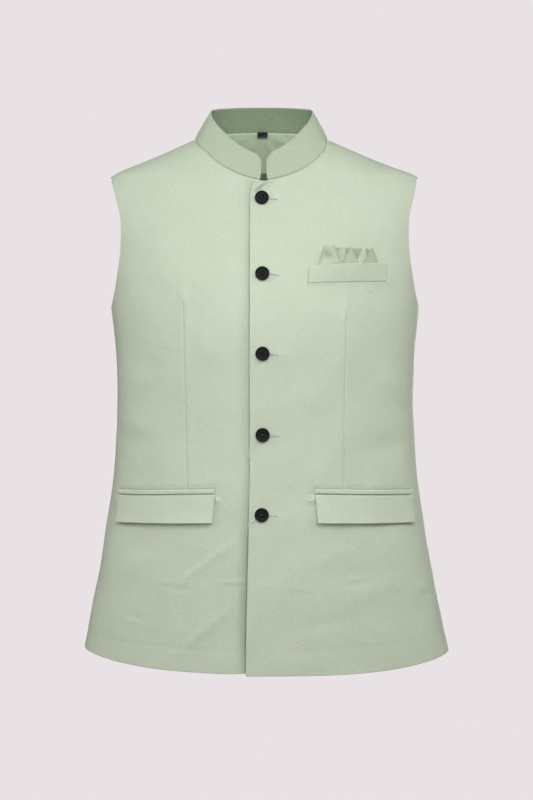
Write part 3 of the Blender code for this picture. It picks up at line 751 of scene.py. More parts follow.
# corners are lowIn, lowOut, topIn, topOut as x and height; margin is the cloth past each of its sides
welt = {
    "corners": ((0.0566, -0.2084), (0.1610, -0.2044), (0.0578, -0.1859), (0.1616, -0.1800)),
    "margin": (0.0110, 0.0110, 0.0110, 0.0), "roll": 0.0011, "rollRadius": 0.0011,
    "shoulder": -0.0003, "ridge": 0.0012, "ridgeReach": 0.0020, "groove": 0.0010, "slot": 0.0004,
    "liftTop": 0.0060, "marks": (), "columns": 84, "rows": 26,
}
jet = {
    "corners": ((0.0655, -0.4838), (0.1958, -0.4878), (0.0655, -0.4777), (0.1958, -0.4813)),
    "margin": (0.0110, 0.0110, 0.0190, 0.0090), "roll": 0.0012, "rollRadius": 0.0014,
    "shoulder": 0.0006, "ridge": 0.0, "ridgeReach": 0.0024, "groove": 0.0011, "slot": 0.0015,
    "liftTop": 0.0, "columns": 120, "rows": 4,
    # x, height, size and depth of the puckers round a bar tack
    "marks": ((0.0625, -0.4922, 0.0045, 0.0013), (0.1995, -0.4955, 0.0045, 0.0012)),
}
basin = {"depth": 0.0018, "inset": 0.0046, "reach": 0.0030}     # room under the sewn pockets


def pocketBasins(side, x, heights):
    # how far the front is pushed back under its pockets
    sunk = np.zeros_like(x)
    for shape in (welt, jet) if side == "left" else (jet,):
        lowIn, lowOut, topIn, topOut = shape["corners"]
        before, after, below, above = shape["margin"]
        width, across = lowOut[0] - lowIn[0], np.abs(x) - lowIn[0]
        low = mix(lowIn[1], lowOut[1], across / width) - below
        top = mix(topIn[1], topOut[1], across / width) + above
        border = fromEdges(across + before, heights - low, width + before + after, top - low)
        sunk = np.maximum(sunk, smoothStep((border - basin["inset"]) / basin["reach"]))
    return -basin["depth"] * sunk


def stepUnder(reach, heights):
    rise = np.clip((-reach - outline["stepStart"]) / (outline["stepEnd"] - outline["stepStart"]), 0, 1)
    below = (outline["lapFlare"] - heights) / outline["stepDeeperReach"]
    return -outline["stepDepth"] * (1 + outline["stepDeeper"] * smoothStep(below)) * (1 - rise) ** 2


# fronts
panel = {"lapColumns": 12, "columns": 104, "backColumns": 154, "rows": (158, 74, 48), "angleSlack": 0.01}


def makeFront(name, side, edgeX, hem):
    rows = panelRows(*panel["rows"])
    angles, heights = frontPatch(sides[side], edgeX, hem, panel["lapColumns"], panel["columns"], rows)
    arcs, flat = arcAt(angles, heights), ringPoints(angles, heights)
    sideSeam, shoulderSeam = flat[rows <= sideShare, -1], flat[rows >= armShare, -1]
    neckline = flat[-1, sides[side] * angles[-1] > -panel["angleSlack"]]
    lift = frontRelief(side, arcs, heights) + pocketBasins(side, flat[..., 0], heights)
    if side == "right":
        lift += stepUnder(flat[..., 0], heights)
    lift = armholeLift(flat, lift, [flat[(rows >= sideShare) & (rows <= armShare), -1]], 0.0)
    lift = sewnLift(flat, lift, (sideSeam, shoulderSeam, neckline))
    fromNeck = distanceTo(flat, neckline)
    lift += cloth["neckRise"] * cloth["seamDip"] * (1 - smoothStep(fromNeck / cloth["seamReach"])) ** 2
    fromRidge = distanceTo(flat, shoulderSeam) - cloth["shoulderLine"]
    lift -= cloth["shoulderDip"] * np.exp(-(fromRidge / cloth["shoulderWidth"]) ** 2)
    if side == "left":
        lift += creaseLift(arcs, heights, topPulls, frontArc) * smoothStep(fromNeck / pullFade)
    piece = panelSheet(name, angles, heights, lift, cloth["wall"], cloth["rimRound"], False,
                       skins["sageCloth"], skins["sageLining"])
    return place(piece, "sage_suiting", "front_" + side)


frontLeft = makeFront("frontLeft", "left", lapEdge, outline["hemLeft"])
frontRight = makeFront("frontRight", "right", lambda heights: np.full_like(heights, outline["underlap"]),
                       outline["hemRight"])
print("fronts made")

collar = {
    "wall": 0.0025, "lead": 0.0008, "topCentre": -0.0045, "topSide": 0.0703,
    "topFront": 0.0660, "topBack": 0.0560, "bulge": 0.0010, "height": 0.037,
    "gapCentre": -0.0017, "gapHalf": 0.0036, "gapSpread": 0.0015, "spreadHeight": 0.4,
    "endRadius": 0.0150, "endShare": 0.375, "rimRound": 0.0014,
    "tuck": 0.080,                # share of its height that goes down behind the panels
    "tuckIn": 0.0018,
    "tuckFrom": 0.030, "tuckReach": 0.060,
    "edgeLine": 0.0028,           # the seam that shows through along the top edge
    "edgeLineDepth": 0.00055, "edgeLineWidth": 0.00070,
    "waveSize": 0.045, "waveDepth": 0.0009, "waveSeed": 41.0, "waveRise": 3,
    "columns": 320, "crowd": 0.9, "rows": (12, 20, 15), "rowBreaks": (0.06, 0.90),
    "footDepth": 0.0003,          # the lining's edge lies this far in, over the collar's foot
    "footReach": 0.013,
}
lining = {"rows": (60, 34, 34), "columns": 110, "clear": 0.0006, "crumple": 0.0006, "crumpleSize": 0.030,
          "crumpleSeed": 33.0, "rimRound": 0.0003}

# back and its lining
# arc from the centre back, height, to the same, width, depth
backCreases = (
    (0.1300, -0.1300, 0.2000, -0.2050, 0.0200, 0.0028),
    (-0.1250, -0.1250, -0.2000, -0.2000, 0.0200, 0.0026),
    (0.0300, -0.3500, 0.1400, -0.3850, 0.0150, -0.0024),
    (-0.0200, -0.3620, -0.1500, -0.4000, 0.0140, -0.0026),
    (0.0600, -0.4200, 0.1700, -0.4450, 0.0160, 0.0022),
    (-0.0500, -0.4400, -0.1600, -0.4250, 0.0160, 0.0020),
    (0.0100, -0.4700, 0.0300, -0.6300, 0.0260, 0.0032),
    (-0.0900, -0.4900, -0.1250, -0.6500, 0.0240, 0.0030),
    (0.1300, -0.5000, 0.1600, -0.6600, 0.0220, -0.0025),
    (-0.0350, -0.5600, -0.1050, -0.6150, 0.0050, 0.0012),    # long diagonals on the skirt
    (0.0600, -0.6000, 0.1250, -0.6550, 0.0050, 0.0011),
    (0.0150, -0.4020, 0.0520, -0.4060, 0.0040, -0.0010),     # short ones at the waist
    (-0.1120, -0.3820, -0.1480, -0.3780, 0.0040, -0.0010),
    (0.0400, -0.6440, 0.0760, -0.6410, 0.0034, 0.0008),
    (0.0100, -0.0700, 0.0600, -0.1100, 0.0200, -0.0013),
    (-0.0400, -0.0600, -0.0900, -0.1200, 0.0180, 0.0013),
)
liningCreases = (
    (0.0050, 0.0080, 0.0300, -0.0260, 0.0060, -0.0016),
    (-0.0120, 0.0070, -0.0330, -0.0200, 0.0060, -0.0014),
    (0.0150, 0.0120, 0.0480, 0.0000, 0.0050, -0.0012),
    (-0.0180, 0.0120, -0.0520, 0.0010, 0.0050, -0.0012),
    (-0.0050, 0.0060, -0.0080, -0.0300, 0.0050, -0.0010),
)


def backRelief(arcs, heights):
    return creaseLift(arcs, heights, backCreases) + clothWaves("back", arcs, heights)


def makeBack():
    rows = panelRows(*panel["rows"])
    angles, heights = backPatch(panel["backColumns"], rows)
    flat = ringPoints(angles, heights)
    lift = backRelief(arcAt(angles, heights, True), heights)
    armRows = (rows >= sideShare) & (rows <= armShare)
    seams = [flat[part, column] for column in (0, -1) for part in (rows <= sideShare, rows >= armShare)]
    sink = cloth["armSink"] * smoothStep(distanceTo(flat, *seams) / cloth["armSinkFade"])
    lift = armholeLift(flat, lift, [flat[armRows, 0], flat[armRows, -1]], sink)
    lift = sewnLift(flat, lift, [flat[-1]] + seams)
    piece = panelSheet("backPanel", angles, heights, lift, cloth["wall"], cloth["rimRound"], True,
                       skins["sageCloth"], skins["sageLining"])
    return place(piece, "sage_suiting", "back")


def makeBackLining():
    rows = np.unique(np.maximum(panelRows(*lining["rows"]), outline["liningStart"]))
    angles, heights = backPatch(lining["columns"], rows, outline["liningInset"])
    arcs, flat = arcAt(angles, heights, True), ringPoints(angles, heights)
    puckers = np.minimum(creaseLift(arcs, heights, liningCreases), 0)
    crumple = softWaves(arcs, heights, lining["crumpleSeed"], lining["crumpleSize"], lining["crumple"])
    lift = backRelief(arcs, heights) - cloth["wall"] - lining["clear"]
    lift += puckers + crumple - lining["crumple"]
    lift -= collar["footDepth"] * (1 - smoothStep(distanceTo(flat, flat[-1]) / collar["footReach"]))
    piece = panelSheet("backLining", angles, heights, lift, cloth["liningWall"], lining["rimRound"], True,
                       skins["sageLining"])
    return place(piece, "sage_lining", "back_lining")


backPanel = makeBack()
backLining = makeBackLining()
print("back and lining made")

# collar
# turn from the centre front, height of the top edge
collarTop = (
    (0, -0.0320),
    (13, -0.0270),
    (26, -0.0180),
    (39, -0.0060),
    (52, 0.0065),
    (65, 0.0180),
    (78, 0.0285),
    (90, 0.0368),
    (135, 0.0478),
    (180, 0.0522),
    (225, 0.0478),
)
neckAngles = float(angleAt(collar["gapCentre"], float(neckHeight(0)))) - np.linspace(0, 360, 721)
neckAngles = np.where(neckAngles < -180, neckAngles + 360, neckAngles)
neckPath = ringPoints(neckAngles, neckHeight(neckAngles))
neckReach = pathReach(neckPath)
neckFrontDepth = -float(ringPoints(0, float(neckHeight(0)))[1])
neckBackDepth = float(ringPoints(180, float(neckHeight(180)))[1])


def collarEnd(rises):
    spread = np.clip(1 - rises / collar["spreadHeight"], 0, 1)
    bend = np.clip((rises - 1 + collar["endShare"]) / collar["endShare"], 0, 1)
    roundOff = collar["endRadius"] * (1 - np.sqrt(1 - bend ** 2))
    return collar["gapHalf"] + collar["gapSpread"] * spread ** 2 + roundOff


def alongPath(points, reach, places):
    # points of a path at places measured along it
    return np.stack([np.interp(places, reach, points[:, k]) for k in range(3)], axis=-1)


def unit(vectors):
    return vectors / np.linalg.norm(vectors, axis=-1, keepdims=True)


def collarPoints(reaches, rises, tuckIn):
    base = alongPath(neckPath, neckReach, reaches)
    across = ((base[..., 0] - float(tableCurve(bodyRings, 0.0, centreColumn)))
              / float(tableCurve(bodyRings, 0.0, widthColumn)))
    front = base[..., 1] < 0
    turn = np.arctan2(np.abs(across), -base[..., 1] / np.where(front, neckFrontDepth, neckBackDepth))
    top = np.stack((collar["topCentre"] + np.sign(across) * collar["topSide"] * np.sin(turn),
                    -np.where(front, collar["topFront"], collar["topBack"]) * np.cos(turn),
                    tableCurve(collarTop, np.degrees(turn), 1)), axis=-1)
    foot = base + unit(top - base) * collar["lead"]
    points = foot + (top - foot) * rises[..., None]
    outward = unit(np.stack((points[..., 0] - collar["topCentre"], points[..., 1], 0 * turn), axis=-1))
    tucked = smoothStep((collar["tuckFrom"] - rises) / collar["tuckReach"])
    bulge = collar["bulge"] * np.sin(math.pi * np.clip(rises, 0, 1))
    return points + outward * (bulge - tuckIn * tucked)[..., None]


def makeCollar():
    footRows, middleRows, edgeRows = collar["rows"]
    low, high = collar["rowBreaks"]
    rises = np.concatenate((np.linspace(-collar["tuck"], low, footRows)[:-1],
                            np.linspace(low, high, middleRows)[:-1],
                            1 - (1 - high) * np.linspace(1, 0, edgeRows) ** 2))[:, None]
    shares = crowdEnds(collar["columns"], collar["crowd"])[None, :]
    ends = collarEnd(rises)
    reaches = mix(ends, neckReach[-1] - ends, shares)
    rises = np.broadcast_to(rises, reaches.shape)
    tucked, face = (collarPoints(reaches, rises, tuckIn) for tuckIn in (collar["tuckIn"], 0.0))
    reach = probe["reach"]
    around = collarPoints(reaches + reach, rises, 0.0) - collarPoints(reaches - reach, rises, 0.0)
    up = collarPoints(reaches, rises + reach, 0.0) - collarPoints(reaches, rises - reach, 0.0)
    inward = unit(np.cross(around, up))
    fromEdge = distanceTo(face, np.concatenate((face[:, 0], face[-1], face[::-1, -1])))
    half = collar["wall"] / 2 * roundedShare(fromEdge, collar["rimRound"])
    fromLine = (fromEdge - collar["edgeLine"]) / collar["edgeLineWidth"]
    line = collar["edgeLineDepth"] * np.exp(-fromLine ** 2)
    waves = softWaves(reaches, rises * collar["height"], collar["waveSeed"], collar["waveSize"],
                      collar["waveDepth"]) * np.clip(rises * collar["waveRise"], 0, 1)
    middleFace = face + inward * (collar["wall"] / 2 - waves)[..., None]
    outer = middleFace - inward * (half - line)[..., None] + tucked - face
    inner = middleFace + inward * half[..., None]
    uvs = np.stack((reaches, rises * collar["height"]), axis=-1)
    # the inside face gets the darker facing finish: painted shade
    piece = doubleSheet("collarBand", outer, inner, uvs, skins["collarClothAndShade"], skins["collarFacingPaintedShade"])
    return place(piece, "sage_suiting", "collar")


collarBand = makeCollar()
print("collar made")

# pocket pieces, laid on the panels
flap = {"corners": ((0.0680, -0.5220), (0.1972, -0.5250), (0.0655, -0.4848), (0.1958, -0.4888)),
        "wall": 0.0020, "liftTop": 0.0004, "liftLow": 0.0058, "outerDrop": 0.25, "dropPower": 0.8,
        "round": 0.0012, "corner": 0.0016, "columns": 84, "rows": 34,
        "crowd": (0.85, 0.85), "bow": 0.0012, "bowAcross": 3.0, "bowUp": 0.8,
        "bowSeeds": {"left": 50.0, "right": 61.0}}
patch = {"clear": 0.00012, "dive": 0.00008, "diveReach": 0.0060, "wall": 0.0004,
         "slotReach": 0.0060, "shoulderReach": 0.0048}
tackRays = {"count": 5, "turn": 40, "middle": 0.35, "swing": 0.65}     # of the puckers round a bar tack
# steps beside a sewn line inside the patch, and outside it
sewnNear, sewnPast = (0.0, 0.0003, 0.0007, 0.0012, 0.0019, 0.0028), (0.0012, 0.0008, 0.0004)
pastStep, pastStart = 0.0008, 0.0018


def crowdedGrid(shape, width, height):
    # places across and up a rectangle, closer together at its edges
    across, up = (crowdEnds(shape[k], crowd) for k, crowd in zip(("columns", "rows"), shape["crowd"]))
    return np.meshgrid(across * width, up * height)


def patchSize(corners):
    return abs(corners[1][0] - corners[0][0]), abs(corners[2][1] - corners[0][1])


def betweenCorners(corners, u, v):
    # one array for each value that the corners hold
    return [mix(mix(a, b, u), mix(c, d, u), v) for a, b, c, d in zip(*corners)]


def onPanel(side, corners, u, v):
    x, heights = betweenCorners(corners, u, v)[:2]
    angles = angleAt(sides[side] * x, heights)
    return angles, heights, arcAt(angles, heights)


def roundCorners(across, up, width, height, radius):
    # squeezes a rectangle's corners into quarter circles
    fromMiddle = across - width / 2, up - height / 2
    past = [np.maximum(np.abs(f) - (size / 2 - radius), 0) for f, size in zip(fromMiddle, (width, height))]
    longest = np.hypot(*past)
    factor = np.where(longest > 0, np.maximum(*past) / np.maximum(longest, 1e-9), 1)
    moved = [np.where(p > 0, np.sign(f) * (size / 2 - radius + p * factor), f)
             for f, p, size in zip(fromMiddle, past, (width, height))]
    return moved[0] + width / 2, moved[1] + height / 2


def makeFlap(side):
    # hangs free below its seam, so its edges and corners are rounded
    width, height = patchSize(flap["corners"])
    across, up = crowdedGrid(flap, width, height)
    inside = fromEdges(across, up, width, height)
    across, up = roundCorners(across, up, width, height, flap["corner"])
    u, v = across / width, up / height
    angles, heights, arcs = onPanel(side, flap["corners"], u, v)
    lift = mix(flap["liftLow"] * (1 - flap["outerDrop"] * u), flap["liftTop"], v ** flap["dropPower"])
    lift += frontRelief(side, arcs, heights)
    waves = softWaves(u * flap["bowAcross"], v * flap["bowUp"], flap["bowSeeds"][side], 1.0, flap["bow"])
    lift += waves * (1 - v)
    half = flap["wall"] / 2 * roundedShare(inside, flap["round"])
    lift += flap["wall"] / 2
    piece = laidSheet("flap" + side.title(), angles, heights, lift, half, (arcs, heights), skins["sageCloth"])
    return place(piece, "sage_suiting", "flap_" + side)


def sewnSteps(length, before, after, middle):
    # places across a sewn patch, close together at the sewn lines at 0 and at length
    near = np.array(sewnNear)

    def margin(reach):
        if reach == 0:
            return np.empty(0)
        return np.concatenate((np.linspace(reach, pastStart, round(reach / pastStep)), sewnPast))

    return np.concatenate((-margin(before), near, np.linspace(near[-1], length - near[-1], middle)[1:-1],
                           length - near[::-1], length + margin(after)[::-1]))


def sewnPatch(name, side, shape, node):
    # a rolled piece inside a sewn outline, with the pressed cloth round it
    width, height = patchSize(shape["corners"])
    before, after, below, above = shape["margin"]
    across, up = np.meshgrid(sewnSteps(width, before, after, shape["columns"]),
                             sewnSteps(height, below, above, shape["rows"]))
    u, v = across / width, up / height
    angles, heights, arcs = onPanel(side, shape["corners"], u, v)
    pastSide, pastEnd = np.maximum(-across, across - width), np.maximum(-up, up - height)
    outside = np.hypot(np.maximum(pastSide, 0), np.maximum(pastEnd, 0))
    inside = np.maximum(np.minimum(-pastSide, -pastEnd), 0)
    slot = shape["slot"] * (1 if above else smoothStep((height - up) / patch["slotReach"]))
    border = np.minimum(np.minimum(across + before, width + after - across), up + below)
    if above:
        border = np.minimum(border, height + above - up)
    rolled = (shape["roll"] + slot) * roundedShare(inside, shape["rollRadius"]) - slot
    pressed = (patch["clear"] + patch["dive"]) * smoothStep(border / patch["diveReach"]) - patch["dive"]
    hollow = np.exp(-(outside / shape["groove"]) ** 2)
    ridge = shape["ridge"] * np.exp(-(outside / shape["ridgeReach"]) ** 2) * (1 - hollow)
    shoulder = np.exp(-(outside / patch["shoulderReach"]) ** 2) * smoothStep(border / patch["diveReach"])
    ridge -= shape["shoulder"] * shoulder
    dip = -(slot + patch["clear"] - shape["shoulder"]) * hollow
    under = shape["liftTop"] * (np.sin(math.pi * np.clip(u, 0, 1)) ** 0.5 * np.clip(v, 0, 1))
    under += frontRelief(side, arcs, heights)
    for markX, markHeight, size, depth in shape["marks"]:
        away, rise = arcs - frontArc(sides[side] * markX, markHeight), heights - markHeight
        rays = np.cos(tackRays["count"] * np.arctan2(rise, away) + markX * tackRays["turn"])
        rays = tackRays["middle"] + tackRays["swing"] * rays
        under += depth * np.exp(-(np.hypot(away, rise) / size) ** 2) * rays
    face = np.where(inside > 0, rolled, ridge + dip + pressed)
    outer = bodyPoints(angles, heights, under + face)
    inner = bodyPoints(angles, heights, under + np.minimum(face, 0) - patch["wall"])
    piece = doubleSheet(name, outer, inner, np.stack((arcs, heights), axis=-1), skins["sageCloth"])
    return place(piece, "sage_suiting", node)


chestWelt = sewnPatch("chestWelt", "left", welt, "chest_welt")
hipPieces = {}
for side in sides:
    jetPiece = sewnPatch("jet" + side.title(), side, jet, "jet_" + side)
    hipPieces[side] = (jetPiece, makeFlap(side))
print("pockets made")

# folded square in the breast pocket: each fold is a four-cornered sheet
# its corners lowIn, lowOut, topIn, topOut as x, height and how far each stands off, its crown,
# its finish as an index of squareFinishes, and its creases over u and v
squareFinishes = ("squareClothAndShade", "squareInnerPaintedShade", "squareFoldPaintedLight")
squareFolds = (
    # the sheets that show between the folds, most in the darker inner finish as painted shade
    (((0.0850, -0.1890, 0.0006), (0.1150, -0.1890, 0.0006),
      (0.0850, -0.1612, 0.0012), (0.1150, -0.1618, 0.0012)), 0.0006, 1, ()),
    (((0.1050, -0.1890, 0.0008), (0.1330, -0.1880, 0.0008),
      (0.1050, -0.1622, 0.0008), (0.1260, -0.1622, 0.0030)), -0.0006, 1, ()),
    (((0.0900, -0.1890, 0.0008), (0.1050, -0.1890, 0.0008),
      (0.0935, -0.1660, 0.0034), (0.1040, -0.1622, 0.0084)), 0.0010, 0, ()),
    (((0.1215, -0.1880, 0.0010), (0.1460, -0.1860, 0.0010),
      (0.1265, -0.1624, 0.0036), (0.1350, -0.1626, 0.0030)), 0.0000, 1, ()),
    (((0.1300, -0.1880, 0.0006), (0.1440, -0.1860, 0.0006),
      (0.1310, -0.1622, 0.0022), (0.1360, -0.1626, 0.0022)), 0.0000, 1, ()),
    # the four folds, from the centre outwards
    (((0.0690, -0.1870, 0.0006), (0.1030, -0.1880, 0.0010),
      (0.0762, -0.1602, 0.0040), (0.0893, -0.1613, 0.0080)), 0.0006, 0,
     ((0.12, 0.98, 0.56, 0.56, 0.17, 0.0060), (0.35, 0.10, 0.95, 0.30, 0.10, 0.0012))),
    (((0.0975, -0.1880, 0.0012), (0.1240, -0.1870, 0.0016),
      (0.1088, -0.1624, 0.0104), (0.1100, -0.1624, 0.0104)), 0.0014, 0, ()),
    # this fold is in the brighter finish: painted light
    (((0.1135, -0.1875, 0.0022), (0.1370, -0.1860, 0.0004),
      (0.1254, -0.1626, 0.0116), (0.1264, -0.1626, 0.0112)), 0.0012, 2, ()),
    (((0.1250, -0.1875, 0.0022), (0.1490, -0.1850, 0.0004),
      (0.1352, -0.1632, 0.0126), (0.1366, -0.1630, 0.0116)), 0.0010, 0, ()),
)
square = {"wall": 0.0015, "round": 0.0012, "curl": 0.0020, "curlReach": 0.0012, "curlWidth": 0.006,
          "height": 0.026, "edgeShare": 0.2, "innerSheets": 5, "crownFoot": 0.4,
          "columns": 30, "rows": 30, "crowd": (0.8, 0.7),
          "waveSeed": 70.0, "waveSize": 0.45, "waveDepth": 0.0005}


def foldOfSquare(index, corners, crown, finish, creases):
    u, v = crowdedGrid(square, 1, 1)
    angles, heights, arcs = onPanel("left", corners, u, v)
    width = np.linalg.norm(np.diff(ringPoints(angles, heights)[:, [0, -1]], axis=1), axis=-1)
    fromSide = np.minimum(u, 1 - u) * width
    inside = np.minimum(fromSide, np.minimum(v, 1 - v) * square["height"])
    under = betweenCorners(corners, u, v)[2]
    under += crown * np.sin(math.pi * u) * mix(square["crownFoot"], 1, v)
    under += creaseLift(u, v, creases)
    under += softWaves(u + index, v, square["waveSeed"] + index, square["waveSize"], square["waveDepth"])
    if index >= square["innerSheets"]:
        curl = square["curl"] * np.exp(-(fromSide / square["curlReach"]) ** 2)
        under += curl * smoothStep(width / square["curlWidth"])
    under += frontRelief("left", arcs, heights)
    half = square["wall"] / 2 * mix(square["edgeShare"], 1, roundedShare(inside, square["round"]))
    fold = laidSheet("squareFold", angles, heights, under + square["wall"] / 2, half, (arcs, heights))
    for face in fold.data.polygons:
        face.material_index = finish
    return fold


def joinPieces(name, parts, *materials):
    joined = bmesh.new()
    for part in parts:
        joined.from_mesh(part.data)
        bpy.data.objects.remove(part, do_unlink=True)
    return finishMesh(name, joined, *materials)


folds = [foldOfSquare(index, *fold) for index, fold in enumerate(squareFolds)]
pocketSquare = joinPieces("pocketSquare", folds, *(skins[name] for name in squareFinishes))
place(pocketSquare, "sage_suiting", "pocket_square")
print("pocket square made")

# buttons
button = {
    "radius": 0.0093, "lift": 0.0014, "upright": 0.55, "sides": 64, "sharp": 40.0, "threadRadius": 0.00036,
    "holeRadius": 0.00112, "holeAcross": 0.0016, "holeUp": 0.0018, "holeFloor": 0.0006, "holeDepth": 0.0100,
    "holeSides": 20, "holeMargin": 1.02, "shadeFrom": 0.0003, "shadeTo": 0.0017,
}
# sewing thread: half its length, its height and its rows as shares of holeUp
blackSewing = {"across": button["holeAcross"], "top": 0.0007, "rows": (-1, 1), "skin": "blackThread"}
greySewing = {"across": 0.0026, "top": 0.0023, "rows": (0.2,), "skin": "greyThread"}
# share of the radius, height
buttonProfile = (
    (0.00, 0.0000), (0.70, 0.0000), (0.88, 0.0004), (0.96, 0.0009), (0.995, 0.0015), (1.00, 0.0020),
    (0.985, 0.0025), (0.95, 0.0028), (0.90, 0.00295), (0.85, 0.0028), (0.80, 0.0024), (0.76, 0.0021),
    (0.70, 0.0019), (0.55, 0.0018), (0.42, 0.00175), (0.00, 0.0017),
)
# x, height, how it is sewn on
buttonPlaces = (
    (-0.0042, -0.0941, blackSewing),
    (-0.0035, -0.1966, blackSewing),
    (-0.0031, -0.3008, blackSewing),
    (-0.0031, -0.4066, greySewing),
    (-0.0042, -0.5110, greySewing),
)


def turnedDisc(name):
    bm = bmesh.new()
    ring = [bm.verts.new((share * button["radius"], 0, height)) for share, height in buttonProfile]
    edges = [bm.edges.new(pair) for pair in zip(ring, ring[1:])]
    bmesh.ops.spin(bm, geom=ring + edges, cent=(0, 0, 0), axis=(0, 0, 1), angle=math.tau,
                   steps=button["sides"], use_merge=True)
    bmesh.ops.remove_doubles(bm, verts=bm.verts[:], dist=1e-6)
    bmesh.ops.recalc_face_normals(bm, faces=bm.faces[:])
    return finishMesh(name, bm, skins["blackResin"])


def drillHoles(disc):
    # four thread holes, darker inside
    bm = bmesh.new()
    for xSide in (-1, 1):
        for ySide in (-1, 1):
            shift = Matrix.Translation((xSide * button["holeAcross"], ySide * button["holeUp"],
                                        button["holeFloor"] + button["holeDepth"] / 2))
            bmesh.ops.create_cone(bm, cap_ends=True, segments=button["holeSides"], matrix=shift,
                                  radius1=button["holeRadius"], radius2=button["holeRadius"],
                                  depth=button["holeDepth"])
    pins = finishMesh("pins", bm, skins["blackResin"])
    cut = disc.modifiers.new("threadHoles", "BOOLEAN")
    cut.operation, cut.solver, cut.object = "DIFFERENCE", "EXACT", pins
    bpy.context.view_layer.update()
    drilled = bpy.data.meshes.new_from_object(disc.evaluated_get(bpy.context.evaluated_depsgraph_get()))
    disc.modifiers.clear()
    disc.data = drilled
    bpy.data.objects.remove(pins, do_unlink=True)
    drilled.materials.append(skins["holeShade"])
    for face in drilled.polygons:
        across, up, rise = face.center
        reach = math.hypot(abs(across) - button["holeAcross"], abs(up) - button["holeUp"])
        inHole = reach < button["holeRadius"] * button["holeMargin"]
        if inHole and button["shadeFrom"] < rise < button["shadeTo"]:
            face.material_index = 1


def makeButton(number, spot):
    disc = turnedDisc(f"button{number}")
    drillHoles(disc)
    disc.data.transform(spot)
    disc.data.shade_smooth()
    disc.data.set_sharp_from_angle(angle=math.radians(button["sharp"]))
    return place(disc, "black_resin", f"button_{number}")


def onFront(x, height, lift=0.0, side="left"):
    # a place this far off a front, and the way out from it
    angle = float(angleAt(x, height))
    relief = frontRelief(side, np.array([float(arcAt(angle, height))]), np.array([height]))
    spot = bodyPoints(np.array(angle), np.array(height), lift + float(relief[0]))
    return Vector(spot), Vector(ringNormals(np.array(angle), np.array(height)))


def frameAt(x, height, lift, upright):
    # a place on the left front, turned part of the way back to upright
    spot, normal = onFront(x, height, lift)
    normal = Vector((normal.x, normal.y, normal.z * (1 - upright))).normalized()
    up = normal.cross(Vector((1, 0, 0))).normalized()
    right = up.cross(normal).normalized()
    return Matrix.Translation(spot) @ Matrix((right, up, normal)).transposed().to_4x4()


threadMade = {"sides": 6, "rings": 4}


def addStitch(bm, start, end, radius):
    # one short thread, thick in the middle
    along = end - start
    turn = along.to_track_quat("Z", "Y").to_matrix().to_4x4()
    size = Matrix.Diagonal((radius, radius, along.length / 2, 1))
    bmesh.ops.create_uvsphere(bm, u_segments=threadMade["sides"], v_segments=threadMade["rings"],
                              radius=1, matrix=Matrix.Translation((start + end) / 2) @ turn @ size)


def addTube(bm, points, radius):
    # a thread through points, closed at both ends
    rings, sideCount = [], threadMade["sides"]
    for index, spot in enumerate(points):
        ahead = points[min(index + 1, len(points) - 1)] - points[max(index - 1, 0)]
        turn = ahead.to_track_quat("Z", "Y").to_matrix().to_4x4()
        made = bmesh.ops.create_circle(bm, cap_ends=False, segments=sideCount, radius=radius,
                                       matrix=Matrix.Translation(spot) @ turn)
        rings.append(made["verts"])
    for low, high in zip(rings, rings[1:]):
        for k in range(sideCount):
            bm.faces.new((low[k], low[(k + 1) % sideCount], high[(k + 1) % sideCount], high[k]))
    bm.faces.new(list(reversed(rings[0])))
    bm.faces.new(rings[-1])


def smoothPath(corners, count):
    # a Catmull-Rom curve through a few corners
    points = [corners[0]] + list(corners) + [corners[-1]]
    made = []
    for k in range(1, len(points) - 2):
        a, b, c, d = points[k - 1:k + 3]
        for step in range(count):
            t = step / count
            made.append(0.5 * ((2 * b) + (c - a) * t + (2 * a - 5 * b + 4 * c - d) * t ** 2
                               + (3 * b - a - 3 * c + d) * t ** 3))
    return made + [corners[-1]]


def threadMesh(name, bm, skin, slot="sage_suiting"):
    bmesh.ops.recalc_face_normals(bm, faces=bm.faces[:])
    for face in bm.faces:
        face.smooth = True
    return place(finishMesh(name, bm, skins[skin]), slot)


for number, (x, height, sewing) in enumerate(buttonPlaces, start=1):
    spot = frameAt(x, height, button["lift"], button["upright"])
    makeButton(number, spot)
    bm = bmesh.new()
    for row in sewing["rows"]:
        start, end = (spot @ Vector((way * sewing["across"], row * button["holeUp"], sewing["top"]))
                      for way in (-1, 1))
        addStitch(bm, start, end, button["threadRadius"])
    threadMesh(f"buttonThread{number}", bm, sewing["skin"], "black_resin")
print("buttons made")

# buttonholes: two rows of close stitches round a slit, from under the button outwards
buttonhole = {"start": 0.0060, "end": 0.0210, "drop": 0.0017, "dropShare": 0.55, "pitch": 0.00060,
              "rowNear": 0.00036, "rowFar": 0.00162, "fanNear": 0.0005, "fanFar": 0.0016, "lift": 0.0002,
              "fan": (-75, 76, 25), "radius": 0.00032, "slitHalf": 0.00060}


def makeButtonhole(number, x, height):
    threads, slit = bmesh.new(), bmesh.new()
    count = int((buttonhole["end"] - buttonhole["start"]) / buttonhole["pitch"])
    slitPoints = []
    for k in range(count + 1):
        along = mix(buttonhole["start"], buttonhole["end"], k / count)
        drop = -buttonhole["drop"] * mix(buttonhole["dropShare"], 1, k / count)
        centre = onFront(x + along, height + drop, buttonhole["lift"])[0]
        slitPoints.append(centre)
        for way in (-1, 1):
            ends = [centre + Vector((0, 0, way * buttonhole[reach])) for reach in ("rowNear", "rowFar")]
            addStitch(threads, *ends, buttonhole["radius"])
    endSpot = onFront(x + buttonhole["end"], height - buttonhole["drop"], buttonhole["lift"])[0]
    for turn in range(*buttonhole["fan"]):
        ray = Vector((math.cos(math.radians(turn)), 0, math.sin(math.radians(turn))))
        addStitch(threads, endSpot + ray * buttonhole["fanNear"], endSpot + ray * buttonhole["fanFar"],
                  buttonhole["radius"])
    # the slit is a thin dark tube: painted shade inside the cut
    addTube(slit, slitPoints, buttonhole["slitHalf"])
    threadMesh(f"buttonholeStitches{number}", threads, "sageThread")
    threadMesh(f"buttonholeSlit{number}", slit, "slitShade")


